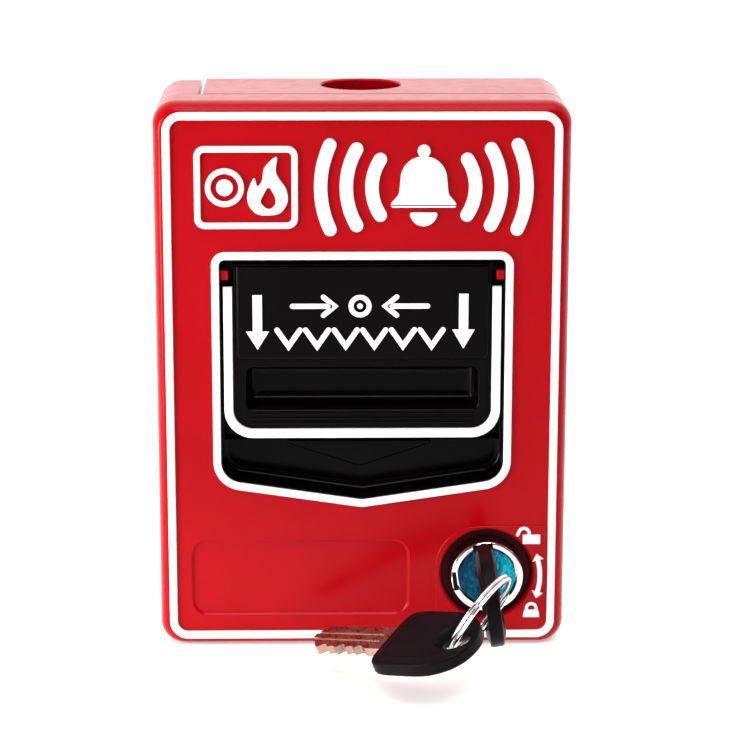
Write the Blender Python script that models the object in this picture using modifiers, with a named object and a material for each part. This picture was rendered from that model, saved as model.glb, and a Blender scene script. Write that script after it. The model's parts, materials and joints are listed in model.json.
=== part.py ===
"""Dual-action manual call point: a red hinged cover with a push-in, pull-down handle, its switch gear,
a key-operated cam lock and the surface back box it closes. Metres, +Z up, +Y into the wall, +X to the right."""

from math import atan2, cos, pi, radians, sin, sqrt, tan

import bmesh
import bpy
from mathutils import Matrix, Vector

# Body, as seen from the front; the wall is the plane y = 0
BODY_W = 0.0884
BODY_H = 0.1200
DEPTH = 0.0375  # wall to the front of the raised border
CORNER_R = 0.0050
COVER_T = 0.0024
BOX_T = 0.0022
SEAM_Y = -0.0239  # front rim of the back box
SEAM_GAP = 0.0005
HINGE_SPLIT_X = -0.0340  # left face of the back box; the cover wraps round it
SPLIT_GAP = 0.0009
COVER_REAR_Y = -0.0026

# Back box entries and wall fixings
CONDUIT_R, CONDUIT_Y = 0.0087, -0.0096
REAR_ENTRY_R, REAR_ENTRY_Z = 0.0100, -0.0210
WALL_SCREW_SPAN = 0.0833
WALL_SLOT_HW, WALL_SLOT_HH = 0.0045, 0.0022
BOX_MID_X = 0.0050

# Hinge: an ear on the box at each end, and a boss and pin on the cover
HINGE_X, HINGE_Y = -0.0390, -0.0054
HINGE_PIN_R = 0.00125
PIN_PLAY = 0.0001
EAR_Z, EAR_T, EAR_R = 0.0500, 0.0060, 0.0018
BOSS_R = 0.0030

# Raised border, window rim, lock pad and label recess on the cover's face
RIB_PROUD = 0.0007
RIB_W = 0.0016
BORDER_HW, BORDER_HH, BORDER_R = 0.0420, 0.05805, 0.0040
WIN_HW, WIN_TOP = 0.0304, 0.0266
WIN_APEX_Z, WIN_APEX_RISE = -0.0264, 0.0045  # bottom of the V, and its rise at the sides
WIN_CORNER_R, WIN_TOP_R, WIN_APEX_R = 0.0047, 0.0012, 0.0015
PAD_LEFT, PAD_RIGHT, PAD_TOP, PAD_BOTTOM, PAD_R = 0.0159, 0.0412, -0.0326, -0.0572, 0.0092
PAD_PROUD = 0.0004
LABEL_LEFT, LABEL_RIGHT, LABEL_TOP, LABEL_BOTTOM, LABEL_R = -0.0370, 0.0102, -0.0357, -0.0528, 0.0035
LABEL_DEPTH = 0.0006
PEG_Z, PEG_HH, PEG_L = 0.0231, 0.0010, 0.0021  # red guide pegs in the handle's notches

# Inside the cover
STANDOFF_X, STANDOFF_HIGH, STANDOFF_LOW, STANDOFF_R = 0.0180, 0.0330, -0.0340, 0.0030
STAKE_X, STAKE_HIGH, STAKE_LOW, STAKE_R = 0.0335, 0.0200, -0.0120, 0.0011
PILOT_R = 0.0011  # holes that the small screws pass through

# Handle well
WELL_FRONT, WELL_FLOOR, WELL_REAR = -0.0341, -0.0286, -0.0271
WELL_SIDE_GAP = 0.0004
FLANGE_HW, FLANGE_HH, FLANGE_T = 0.0368, 0.0295, 0.0015
WELL_LEDGE_Z = -0.0152  # the tray is open above this
WELL_BACK_FRONT, WELL_BACK_REAR, WELL_BACK_TOP = -0.0262, -0.0252, -0.0085
FACET_LEFT, FACET_RIGHT, FACET_TOP, FACET_TIP = -0.0195, 0.0185, -0.0153, -0.0215

# Chassis plate
CHASSIS_FRONT, CHASSIS_REAR = -0.0196, -0.0178
CHASSIS_HW, CHASSIS_TOP, CHASSIS_BOTTOM = 0.0220, 0.0370, -0.0380
TONGUE_HW, TONGUE_TOP, TONGUE_BOTTOM = 0.0110, -0.0300, -0.0470

# Push carriage, its guides and springs
CARRIAGE_FRONT, CARRIAGE_REAR = -0.0285, -0.0267
CARRIAGE_HW, CARRIAGE_LOW, CARRIAGE_TOP = 0.0240, -0.0005, 0.0250
GUIDE_X, GUIDE_Z, GUIDE_R, GUIDE_END = 0.0190, 0.0210, 0.0015, -0.0150
CLIP_Y, CLIP_T, CLIP_R = -0.0170, 0.0006, 0.0027
PUSH_SPRING_R, PUSH_WIRE_R, PUSH_TURNS = 0.0024, 0.00028, 5
SHELF_TOP = 0.0010
SHELF_HW, SHELF_REAR = 0.0026, -0.0234
SPRING_Y = -0.0249
RETURN_SPRING_R, RETURN_WIRE_R, RETURN_TURNS = 0.0012, 0.0002, 7

# Pull handle
PULL_TRAVEL = 0.0070
HANDLE_HW, HANDLE_TOP, HANDLE_BOTTOM, HANDLE_R = 0.0296, 0.0257, -0.0126, 0.0062
HANDLE_FRONT, HANDLE_REAR = -0.0370, -0.0289
U_W, U_TOP = 0.0019, 0.0206  # raised U along the sides and bottom
PANEL_Y = -0.0359
NOTCH_HW = 0.0274
POCKET_HW, POCKET_TOP, POCKET_BOTTOM, POCKET_R = 0.0247, 0.0026, -0.0064, 0.0014
POCKET_DEPTH = 0.0066
GROOVE_PITCH, GROOVE_HH, GROOVE_DEPTH = 0.00105, 0.00026, 0.0005
BAR_REAR = -0.0320
HANDLE_WALL = 0.0016
LUG_X, LUG_LOW, LUG_TOP = 0.0130, 0.0110, 0.0150
LUG_NECK_HW, LUG_HEAD_HW, LUG_NECK_REAR = 0.0012, 0.0026, -0.0264
ARM_X, ARM_HW, ARM_LOW = -0.0108, 0.0030, -0.0260
ARM_FRONT, ARM_REAR = -0.0266, -0.0230

# Microswitch
LEVER_L, LEVER_TILT, LEVER_T, LEVER_HW = 0.0162, radians(12.5), 0.0004, 0.0016
TIP_R, HUB_R, LEVER_PIN_R, LEVER_BORE_R = 0.0016, 0.0011, 0.00055, 0.00065
SWITCH_FRONT, SWITCH_REAR = -0.0277, -0.0213
SWITCH_W, SWITCH_H, SWITCH_OVERHANG = 0.0160, 0.0097, 0.0026
PIVOT_RISE = 0.0036  # lever pin above the switch's top
PLUNGER_ARM, PLUNGER_R = 0.0045, 0.0009
SWITCH_SCREWS = [(-0.0056, -0.0426), (0.0048, -0.0426)]
TAB_PITCH, TAB_HW, TAB_T, TAB_L = 0.0059, 0.0014, 0.0006, 0.0042

# Circuit board, terminals and wires
BOARD_GAP, BOARD_T = 0.0012, 0.0016
BOARD_HW, BOARD_LOW, BOARD_TOP = 0.0140, 0.0050, 0.0310
BOARD_SCREWS = [(-0.0115, 0.0085), (0.0115, 0.0085)]
BLOCK_HW, BLOCK_Z, BLOCK_HH, BLOCK_REAR = 0.0121, 0.0245, 0.0045, -0.0066
POLES = [-0.0090, -0.0030, 0.0030, 0.0090]
POLE_WELL_R = 0.0019
HEADER_X, HEADER_Z, HEADER_HW, HEADER_HH, HEADER_DEEP = 0.0028, 0.0082, 0.0056, 0.0022, 0.0048
WIRE_R = 0.00055

# Lock
LOCK_X, LOCK_Z = 0.0271, -0.0434
LOCK_CLOCK = radians(8)  # the key stands this far short of upright
LOCK_RECESS_R, LOCK_RECESS_Y = 0.0100, -0.0338
BEZEL_R, BEZEL_FRONT = 0.0079, -0.0394
BARREL_R, BARREL_END = 0.0062, -0.0165
PLUG_R, PLUG_FACE_R = 0.0048, 0.0063
FACE_SUNK, FACE_T = 0.0007, 0.0015
WASHER_R, WASHER_T, NUT_R, NUT_T = 0.0085, 0.0008, 0.0088, 0.0028
CAM_REACH, CAM_T, CAM_HW, CAM_HUB_R = 0.0130, 0.0015, 0.0030, 0.0040

# Strike: a steel angle on the right wall, behind whose lip the cam turns
STRIKE_Y, STRIKE_HH, STRIKE_T, STRIKE_DEEP = -0.0174, 0.0052, 0.0010, 0.0105
STRIKE_OVERLAP = 0.0030
STRIKE_SCREW_Y, STRIKE_SCREW_DZ = -0.0096, 0.0032

# Keys and ring
KEY_T = 0.0020
BLADE_W, BLADE_L = 0.0074, 0.0200
CUT_PITCH, CUT_DEPTHS = 0.0024, (0.0009, 0.0004, 0.0011, 0.0006, 0.0008)
MILLING_DEPTH, MILLING_HW = 0.0004, 0.0004
BOW_L, BOW_HW, BOW_T = 0.0220, 0.0097, 0.0042
BOW_RIM_T, BOW_SHOULDER, BOW_PANEL = 0.0030, 0.90, 0.78  # thin rim; where the thick panel rises and levels off
BOW_HOLE_R = 0.0032
BOW_HOLE_IN = 0.0048  # hole centre to the bow's far end
COUNTERSINK = 0.0028
BOW_REAR_Y = -0.0432  # bow's flat end, on the key in the lock
SOCKET_L = 0.0052
RING_R, RING_WIRE_R, RING_PLAY = 0.0095, 0.0004, 0.00016
RING_CENTRE = Vector((0.02392, -0.06906, -0.04158))
RING_NORMAL = Vector((-0.764, 0.402, 0.504))
RING_START = Vector((0.0015, 0.0071, 0.0039))  # from the centre towards the wire's end
SPARE_HOLE = Vector((0.01887, -0.07410, -0.04618))
SPARE_AXIS = Vector((-0.775, 0.603, -0.187))  # hole to tip
SPARE_NORMAL = Vector((-0.346, -0.158, 0.925))

FIT = 0.0003  # clearance between neighbouring pieces

MATERIALS = {
    "red_abs": ((0.72, 0.015, 0.022, 1), 0.32, 0.0),
    "black_abs": ((0.012, 0.010, 0.011, 1), 0.22, 0.0),
    "grey_plastic": ((0.30, 0.31, 0.32, 1), 0.5, 0.0),
    "key_plastic": ((0.014, 0.013, 0.014, 1), 0.38, 0.0),
    "chrome": ((0.85, 0.85, 0.86, 1), 0.12, 1.0),
    "steel": ((0.55, 0.55, 0.56, 1), 0.35, 1.0),
    "brass": ((0.78, 0.52, 0.30, 1), 0.3, 1.0),
    "teal_foil": ((0.02, 0.42, 0.52, 1), 0.3, 0.4),
    "circuit_board": ((0.03, 0.25, 0.10, 1), 0.5, 0.0),
    "foam_rubber": ((0.05, 0.05, 0.05, 1), 0.9, 0.0),
}

ROUND_STEPS = 24
ARC_STEPS = 5

# Worked out from the sizes above
HALF_W, HALF_H = BODY_W / 2, BODY_H / 2
FACE_Y = -DEPTH + RIB_PROUD
INNER_Y = FACE_Y + COVER_T
COVER_RIM_Y = SEAM_Y - SEAM_GAP
SPLIT_EDGE_X = HINGE_SPLIT_X - SPLIT_GAP
STANDOFFS = [(side * STANDOFF_X, z) for z in (STANDOFF_HIGH, STANDOFF_LOW) for side in (1, -1)]
STAKES = [(side * STAKE_X, z) for z in (STAKE_HIGH, STAKE_LOW) for side in (1, -1)]
PIVOT_X = ARM_X + LEVER_L * cos(LEVER_TILT)
PIVOT_Z = ARM_LOW - FIT - TIP_R - LEVER_L * sin(LEVER_TILT)
PLUNGER_X = PIVOT_X - PLUNGER_ARM
PLUNGER_TOP = PIVOT_Z + PLUNGER_ARM * tan(LEVER_TILT) - LEVER_T / 2 - FIT
SWITCH_TOP = PIVOT_Z - PIVOT_RISE
SWITCH_LOW = SWITCH_TOP - SWITCH_H
SWITCH_MID_Y = (SWITCH_FRONT + SWITCH_REAR) / 2
SWITCH_RIGHT = PIVOT_X + SWITCH_OVERHANG
TAB_X = [PIVOT_X + 0.0002 - k * TAB_PITCH for k in (2, 1, 0)]
BOARD_FRONT = CHASSIS_REAR + BOARD_GAP
BOARD_REAR = BOARD_FRONT + BOARD_T
WASHER_FRONT = LOCK_RECESS_Y + COVER_T + FIT
NUT_FRONT = WASHER_FRONT + WASHER_T + FIT
FACE_FRONT = BEZEL_FRONT + FACE_SUNK
STRIKE_WALL = HALF_W - BOX_T - FIT
STRIKE_SCREWS = (LOCK_Z + STRIKE_SCREW_DZ, LOCK_Z - STRIKE_SCREW_DZ)
KEY_UP = Vector((-sin(LOCK_CLOCK), 0, cos(LOCK_CLOCK)))
KEY_HOLE = Vector((LOCK_X, BOW_REAR_Y - BOW_L + BOW_HOLE_IN, LOCK_Z))
BLADE_TIP_Y = BOW_REAR_Y + BLADE_L
BLADE_ROOT = BOW_HOLE_IN - BOW_L + SOCKET_L  # along the key from its ring hole
BLADE_TIP = BOW_HOLE_IN - BOW_L - BLADE_L
RING_PITCH = 2 * RING_WIRE_R + RING_PLAY


# ---------------------------------------------------------------- scene and helpers

for old in list(bpy.data.objects):
    bpy.data.objects.remove(old, do_unlink=True)


def new_collection(name):
    made = bpy.data.collections.new(name)
    bpy.context.scene.collection.children.link(made)
    return made


PARTS = new_collection("manual_call_point")
CUTTERS = new_collection("cutters")


def make_material(name):
    colour, rough, metal = MATERIALS[name]
    made = bpy.data.materials.new(name)
    made.use_nodes = True
    shader = made.node_tree.nodes["Principled BSDF"]
    shader.inputs["Base Color"].default_value = colour
    shader.inputs["Roughness"].default_value = rough
    shader.inputs["Metallic"].default_value = metal
    return made


MADE = {name: make_material(name) for name in MATERIALS}


def put(name, mesh, at=(0, 0, 0), turn=None):
    """A cutter or building block, from a mesh already in metres about its own origin."""
    made = bpy.data.objects.new(name, mesh)
    made.location = at
    if turn is not None:
        made.rotation_euler = turn
    made.hide_render = True
    made.display_type = "WIRE"
    CUTTERS.objects.link(made)
    return made


def node(shape, name, material, smooth=True):
    """Turns a building block into a named node of the part."""
    CUTTERS.objects.unlink(shape)
    PARTS.objects.link(shape)
    shape.name = name
    shape.data.name = name
    shape.hide_render = False
    shape.display_type = "TEXTURED"
    shape.data.materials.clear()
    shape.data.materials.append(MADE[material])
    if smooth:
        shape.data.shade_smooth()
        shape.data.set_sharp_from_angle(angle=radians(35))
    return shape


def from_bmesh(name, form, at=(0, 0, 0), turn=None):
    mesh = bpy.data.meshes.new(name)
    bmesh.ops.recalc_face_normals(form, faces=form.faces)
    form.to_mesh(mesh)
    form.free()
    return put(name, mesh, at, turn)


def box(low, high, name="block"):
    low, high = Vector(low), Vector(high)
    form = bmesh.new()
    bmesh.ops.create_cube(form, size=1)
    bmesh.ops.scale(form, vec=high - low, verts=form.verts)
    return from_bmesh(name, form, (low + high) / 2)


AXIS_TURN = {"x": (0, pi / 2, 0), "y": (pi / 2, 0, 0), "z": (0, 0, 0)}


def rod(axis, centre, radius, length, name="rod", steps=ROUND_STEPS, end_radius=None):
    form = bmesh.new()
    bmesh.ops.create_cone(
        form, cap_ends=True, segments=steps, depth=length,
        radius1=radius, radius2=radius if end_radius is None else end_radius,
    )
    return from_bmesh(name, form, centre, AXIS_TURN[axis])


def rod_y(x, z, front, rear, radius, name="rod", steps=ROUND_STEPS):
    return rod("y", (x, (front + rear) / 2, z), radius, rear - front, name, steps)


def rod_z(x, y, low, high, radius, name="rod", steps=ROUND_STEPS):
    return rod("z", (x, y, (low + high) / 2), radius, high - low, name, steps)


def fillet(points, radii, steps=ARC_STEPS):
    """The closed outline through points, each corner rounded by its radius."""
    out = []
    count = len(points)
    for i, radius in enumerate(radii):
        here, before, after = (Vector(points[j % count]) for j in (i, i - 1, i + 1))
        if not radius:
            out.append(tuple(here))
            continue
        a, b = (before - here).normalized(), (after - here).normalized()
        half = a.angle(b) / 2
        centre = here + (a + b).normalized() * radius / sin(half)
        start, end = here + a * radius / (sin(half) / cos(half)), here + b * radius / (sin(half) / cos(half))
        first = atan2(*(start - centre).yx)
        sweep = (atan2(*(end - centre).yx) - first + pi) % (2 * pi) - pi
        for k in range(steps + 1):
            angle = first + sweep * k / steps
            out.append((centre.x + radius * cos(angle), centre.y + radius * sin(angle)))
    return out


def round_rect(half_w, half_h, radius, steps=ARC_STEPS):
    corners = [(half_w, half_h), (-half_w, half_h), (-half_w, -half_h), (half_w, -half_h)]
    return fillet(corners, [radius] * 4, steps)


def flat(outline, thickness, name="flat"):
    """A flat outline in the local XY plane, thickened to both sides of it, as a closed mesh."""
    curve = bpy.data.curves.new(name, "CURVE")
    curve.dimensions = "2D"
    curve.fill_mode = "BOTH"
    curve.extrude = thickness / 2
    spline = curve.splines.new("POLY")
    spline.points.add(len(outline) - 1)
    for point, (x, y) in zip(spline.points, outline):
        point.co = (x, y, 0, 1)
    spline.use_cyclic_u = True
    guide = bpy.data.objects.new(name, curve)
    CUTTERS.objects.link(guide)
    bpy.context.view_layer.update()
    mesh = bpy.data.meshes.new_from_object(guide.evaluated_get(bpy.context.evaluated_depsgraph_get()))
    bpy.data.objects.remove(guide)
    form = bmesh.new()
    form.from_mesh(mesh)
    bmesh.ops.remove_doubles(form, verts=form.verts, dist=1e-6)
    bmesh.ops.dissolve_limit(form, angle_limit=radians(1), verts=form.verts, edges=form.edges)
    bmesh.ops.recalc_face_normals(form, faces=form.faces)
    form.to_mesh(mesh)
    form.free()
    return mesh


def slab_y(outline, front, rear, name="slab"):
    """An outline in X and Z, solid from y = front to y = rear."""
    return put(name, flat(outline, rear - front, name), (0, (front + rear) / 2, 0), (pi / 2, 0, 0))


def slab_z(outline, low, high, name="slab"):
    """An outline in X and Y, solid from z = low to z = high."""
    return put(name, flat(outline, high - low, name), (0, 0, (low + high) / 2))


def loft_y(rings, name="loft"):
    """A solid skinned over outlines in X and Z, one for each (y, outline), front to rear."""
    form = bmesh.new()
    loops = [[form.verts.new((x, y, z)) for x, z in outline] for y, outline in rings]
    for near, far in zip(loops, loops[1:]):
        for i in range(len(near)):
            form.faces.new((near[i - 1], near[i], far[i], far[i - 1]))
    form.faces.new(loops[0])
    form.faces.new(loops[-1])
    return from_bmesh(name, form)


def tube(points, radius, name="wire", closed=False, resolution=2):
    """A round wire along points, as a closed mesh in world space."""
    curve = bpy.data.curves.new(name, "CURVE")
    curve.dimensions = "3D"
    curve.bevel_depth = radius
    curve.bevel_resolution = resolution
    curve.use_fill_caps = not closed
    spline = curve.splines.new("POLY")
    spline.points.add(len(points) - 1)
    for point, place in zip(spline.points, points):
        point.co = (*place, 1)
    spline.use_cyclic_u = closed
    guide = bpy.data.objects.new(name, curve)
    CUTTERS.objects.link(guide)
    bpy.context.view_layer.update()
    mesh = bpy.data.meshes.new_from_object(guide.evaluated_get(bpy.context.evaluated_depsgraph_get()))
    bpy.data.objects.remove(guide)
    form = bmesh.new()
    form.from_mesh(mesh)
    bmesh.ops.remove_doubles(form, verts=form.verts, dist=1e-6)
    bmesh.ops.recalc_face_normals(form, faces=form.faces)
    form.to_mesh(mesh)
    form.free()
    return put(name, mesh)


def boolean(target, other, operation):
    made = target.modifiers.new(operation.lower(), "BOOLEAN")
    made.operation = operation
    made.solver = "EXACT"
    made.object = other
    return target


def cut(target, *others):
    for other in others:
        boolean(target, other, "DIFFERENCE")
    return target


def join(target, *others):
    for other in others:
        boolean(target, other, "UNION")
    return target


def keep(target, other):
    return boolean(target, other, "INTERSECT")


def soften(target, width, segments=2, angle=40):
    made = target.modifiers.new("bevel", "BEVEL")
    made.width = width
    made.segments = segments
    made.limit_method = "ANGLE"
    made.angle_limit = radians(angle)
    return target


def carrier(name, at, parent=None):
    """An empty on a joint's axis, which carries a moving body."""
    made = bpy.data.objects.new(name, None)
    made.empty_display_size = 0.005
    PARTS.objects.link(made)
    made.location = Vector(at) - (parent["world"] if parent else Vector((0, 0, 0)))
    if parent:
        made.parent = parent["object"]
    return {"object": made, "world": Vector(at)}


def ride(body, *shapes):
    for shape in shapes:
        shape.parent = body["object"]
        shape.location = Vector(shape.location) - body["world"]


def helix(centre, radius, low, high, turns, steps, up=(0, 0, 1), start=None):
    """Points of a coil along up, from low to high, beginning on the side of start."""
    axis = Vector(up).normalized()
    side = Vector(start) if start else axis.orthogonal()
    side = (side - axis * side.dot(axis)).normalized()
    across = axis.cross(side)
    count = int(turns * steps)
    points = []
    for i in range(count + 1):
        angle = 2 * pi * i / steps
        along = low + (high - low) * i / count
        points.append(Vector(centre) + axis * along + (side * cos(angle) + across * sin(angle)) * radius)
    return points


def screw(name, x, z, head_y, shank_end, head_r, shank_r, facing=1, material="steel"):
    """A cross-slotted pan-head screw along Y; facing 1 puts the head at the rear end."""
    head_t = head_r * 0.7
    head = rod_y(x, z, *sorted((head_y, head_y + facing * head_t)), head_r, "screw_head", 12)
    shank = rod_y(x, z, *sorted((shank_end, head_y + facing * head_t / 2)), shank_r, "screw_shank", 8)
    slot_y = sorted((head_y + facing * head_t * 0.55, head_y + facing * head_t * 2))
    slots = [
        box((x - w, slot_y[0], z - h), (x + w, slot_y[1], z + h), "screw_slot")
        for w, h in ((head_r * 0.62, head_r * 0.13), (head_r * 0.13, head_r * 0.62))
    ]
    join(head, shank)
    cut(head, *slots)
    return node(head, name, material)


# ---------------------------------------------------------------- outlines shared by several pieces

def window_outline(grow=0.0):
    """Straight sides and top, and a shallow V below, grown outwards by grow."""
    slope = WIN_APEX_RISE / WIN_HW
    hw = WIN_HW + grow
    top = WIN_TOP + grow
    apex = WIN_APEX_Z - grow * sqrt(1 + slope * slope)
    low_side = apex + slope * hw
    corners = [(hw, top), (-hw, top), (-hw, low_side), (0, apex), (hw, low_side)]
    big = WIN_CORNER_R + grow
    small = WIN_TOP_R + grow
    return fillet(corners, [small, small, big, WIN_APEX_R + grow, big], 6)


def handle_outline(inset=0.0, top=HANDLE_TOP):
    hw, low = HANDLE_HW - inset, HANDLE_BOTTOM + inset
    low_r = max(HANDLE_R - inset, 0.001)
    return fillet([(hw, top - inset), (-hw, top - inset), (-hw, low), (hw, low)],
                  [0.001, 0.001, low_r, low_r])


def body_rings(stations):
    return [(y, round_rect(HALF_W - inset, HALF_H - inset, CORNER_R)) for y, inset in stations]


# ---------------------------------------------------------------- back box

def make_rear_housing():
    shell = slab_y(round_rect(HALF_W, HALF_H, CORNER_R), SEAM_Y, 0.0, "rear_housing")
    keep(shell, box((HINGE_SPLIT_X, -0.1, -0.1), (0.1, 0.1, 0.1), "right_of_split"))
    hollow = slab_y(
        fillet(
            [(HALF_W - BOX_T, HALF_H - BOX_T), (HINGE_SPLIT_X + BOX_T, HALF_H - BOX_T),
             (HINGE_SPLIT_X + BOX_T, BOX_T - HALF_H), (HALF_W - BOX_T, BOX_T - HALF_H)],
            [0.003, 0.001, 0.001, 0.003], 6,
        ),
        SEAM_Y - 0.001, -BOX_T, "box_hollow",
    )
    cut(shell, hollow)
    cut(shell, rod_z(0, CONDUIT_Y, HALF_H - 0.003, HALF_H + 0.001, CONDUIT_R, "conduit_entry", 32))
    for z in (WALL_SCREW_SPAN / 2, -WALL_SCREW_SPAN / 2):
        slot = fillet(
            [(BOX_MID_X + WALL_SLOT_HW, z + WALL_SLOT_HH), (BOX_MID_X - WALL_SLOT_HW, z + WALL_SLOT_HH),
             (BOX_MID_X - WALL_SLOT_HW, z - WALL_SLOT_HH), (BOX_MID_X + WALL_SLOT_HW, z - WALL_SLOT_HH)],
            [WALL_SLOT_HH * 0.95] * 4, 5,
        )
        cut(shell, slab_y(slot, -0.004, 0.001, "wall_screw_slot"))
    cut(shell, rod_y(BOX_MID_X, REAR_ENTRY_Z, -0.004, 0.001, REAR_ENTRY_R, "rear_cable_entry"))
    reach = HINGE_SPLIT_X - HINGE_X + BOX_T / 2
    for z in (EAR_Z, -EAR_Z):
        ear = slab_z(
            [(x + HINGE_X, y + HINGE_Y) for x, y in fillet(
                [(reach, EAR_R), (-EAR_R, EAR_R), (-EAR_R, -EAR_R), (reach, -EAR_R)],
                [0, EAR_R * 0.95, EAR_R * 0.95, 0], 5)],
            z - EAR_T / 2, z + EAR_T / 2, "hinge_ear",
        )
        join(shell, ear)
        cut(shell, rod_z(HINGE_X, HINGE_Y, z - EAR_T, z + EAR_T, HINGE_PIN_R + PIN_PLAY, "pin_hole", 24))
    for z in STRIKE_SCREWS:
        cut(shell, rod("x", (HALF_W - BOX_T, STRIKE_SCREW_Y, z), 0.00095, 0.0034, "strike_hole", 12))
    return node(shell, "rear_housing", "red_abs")


housing = make_rear_housing()


def make_hinge_pin(name, side):
    low, high = sorted((side * (EAR_Z - EAR_T / 2 - 0.0008), side * (HALF_H - 0.0031)))
    pin = rod_z(HINGE_X, HINGE_Y, low, high, HINGE_PIN_R, name, 24)
    return node(pin, name, "steel")


hinge_pins = [make_hinge_pin("hinge_pin_upper", 1), make_hinge_pin("hinge_pin_lower", -1)]


def make_strike():
    """A plate on the wall whose front edge turns in as a lip."""
    inner_x = STRIKE_WALL - STRIKE_T
    lip_x = LOCK_X + CAM_REACH - STRIKE_OVERLAP
    outline = [(STRIKE_WALL, STRIKE_Y), (STRIKE_WALL, STRIKE_Y + STRIKE_DEEP),
               (inner_x, STRIKE_Y + STRIKE_DEEP),
               (inner_x, STRIKE_Y + STRIKE_T), (lip_x, STRIKE_Y + STRIKE_T), (lip_x, STRIKE_Y)]
    plate = slab_z(outline, LOCK_Z - STRIKE_HH, LOCK_Z + STRIKE_HH, "lock_strike")
    for z in STRIKE_SCREWS:
        cut(plate, rod("x", (STRIKE_WALL, STRIKE_SCREW_Y, z), PILOT_R, 0.006, "strike_plate_hole", 16))
    return node(plate, "lock_strike", "steel")


def make_strike_screw(name, z):
    """A slotted screw along X through the strike, blind in the box's wall."""
    under_head = STRIKE_WALL - STRIKE_T - FIT
    head = rod("x", (under_head - 0.00065, STRIKE_SCREW_Y, z), 0.0017, 0.0013, name, 12)
    join(head, rod("x", (under_head + 0.0009, STRIKE_SCREW_Y, z), 0.0008, 0.0040, "strike_shank", 8))
    cut(head, box((under_head - 0.003, STRIKE_SCREW_Y - 0.0003, z - 0.0012),
                  (under_head - 0.0008, STRIKE_SCREW_Y + 0.0003, z + 0.0012), "strike_screw_slot"))
    return node(head, name, "steel")


strike = make_strike()
strike_screws = [make_strike_screw(f"strike_screw_{n}", z) for n, z in enumerate(STRIKE_SCREWS, 1)]


# ---------------------------------------------------------------- front cover

def make_front_cover():
    shell = loft_y(body_rings([
        (FACE_Y, 0.0021), (FACE_Y + 0.0003, 0.0013), (FACE_Y + 0.0011, 0.0007),
        (FACE_Y + 0.0024, 0.0002), (FACE_Y + 0.0043, 0.0), (COVER_RIM_Y, 0.0),
    ]), "front_cover")
    wrap = slab_z(
        fillet([(SPLIT_EDGE_X, COVER_REAR_Y), (-HALF_W, COVER_REAR_Y), (-HALF_W, COVER_RIM_Y - 0.001),
                (SPLIT_EDGE_X, COVER_RIM_Y - 0.001)], [0.0012, 0.0030, 0, 0], 5),
        -HALF_H, HALF_H, "hinge_side",
    )
    keep(wrap, slab_y(round_rect(HALF_W, HALF_H, CORNER_R), -0.040, 0.001, "wrap_limit"))
    join(shell, wrap)
    border = slab_y(round_rect(BORDER_HW, BORDER_HH, BORDER_R), -DEPTH, FACE_Y + 0.0003, "border")
    cut(border, slab_y(round_rect(BORDER_HW - RIB_W, BORDER_HH - RIB_W, BORDER_R - RIB_W), -0.039, -0.036,
                       "border_in"))
    rim = slab_y(window_outline(RIB_W), -DEPTH, FACE_Y + 0.0003, "window_rim")
    pad = slab_y(
        fillet([(PAD_RIGHT, PAD_TOP), (PAD_LEFT, PAD_TOP), (PAD_LEFT, PAD_BOTTOM), (PAD_RIGHT, PAD_BOTTOM)],
               [0, PAD_R, 0, 0]),
        FACE_Y - PAD_PROUD, FACE_Y + PAD_PROUD, "lock_pad",
    )
    join(shell, border, rim, pad)
    cut(shell, slab_y(round_rect(HALF_W - COVER_T, HALF_H - COVER_T, 0.0030, 6), INNER_Y, 0.002,
                      "cover_hollow"))
    join(shell, rod_y(LOCK_X, LOCK_Z, INNER_Y - 0.0010, LOCK_RECESS_Y + COVER_T, LOCK_RECESS_R + 0.0014,
                      "lock_boss"))
    join(shell, *[rod_y(x, z, INNER_Y - 0.0006, CHASSIS_FRONT - FIT, STANDOFF_R, "standoff", 12)
                  for x, z in STANDOFFS])
    join(shell, *[rod_y(x, z, INNER_Y - 0.0006, INNER_Y + 0.0026, STAKE_R, "stake", 8) for x, z in STAKES])
    join(shell, *[
        rod_z(HINGE_X, HINGE_Y,
              *sorted((side * (EAR_Z + EAR_T / 2 + 0.0004), side * (HALF_H - COVER_T + 0.0004))),
              BOSS_R, "hinge_boss", 24)
        for side in (1, -1)
    ])
    label = fillet([(LABEL_RIGHT, LABEL_TOP), (LABEL_LEFT, LABEL_TOP), (LABEL_LEFT, LABEL_BOTTOM),
                    (LABEL_RIGHT, LABEL_BOTTOM)], [LABEL_R] * 4, 6)
    cut(
        shell,
        slab_y(window_outline(), -0.040, -0.030, "window"),
        slab_y(label, -0.040, FACE_Y + LABEL_DEPTH, "label_recess"),
        rod_y(LOCK_X, LOCK_Z, -0.040, LOCK_RECESS_Y, LOCK_RECESS_R, "lock_recess", 36),
        rod_y(LOCK_X, LOCK_Z, -0.040, -0.020, BARREL_R + 0.0002, "barrel_hole", 28),
    )
    join(shell, *[
        box((min(x, x - side * PEG_L), FACE_Y + 0.0002, PEG_Z - PEG_HH),
            (max(x, x - side * PEG_L), INNER_Y - 0.0002, PEG_Z + PEG_HH), "guide_peg")
        for side in (1, -1) for x in (side * (WIN_HW + 0.0002),)
    ])
    cut(shell, *[rod_y(x, z, -0.0300, -0.0190, PILOT_R, "standoff_hole", 8) for x, z in STANDOFFS])
    cut(shell, *[
        rod_z(HINGE_X, HINGE_Y, *sorted((side * EAR_Z, side * (HALF_H - 0.0028))), HINGE_PIN_R + PIN_PLAY,
              "pin_bore", 24)
        for side in (1, -1)
    ])
    return node(shell, "front_cover", "red_abs")


cover_body = carrier("cover_axis", (HINGE_X, HINGE_Y, 0))
cover = make_front_cover()


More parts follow.
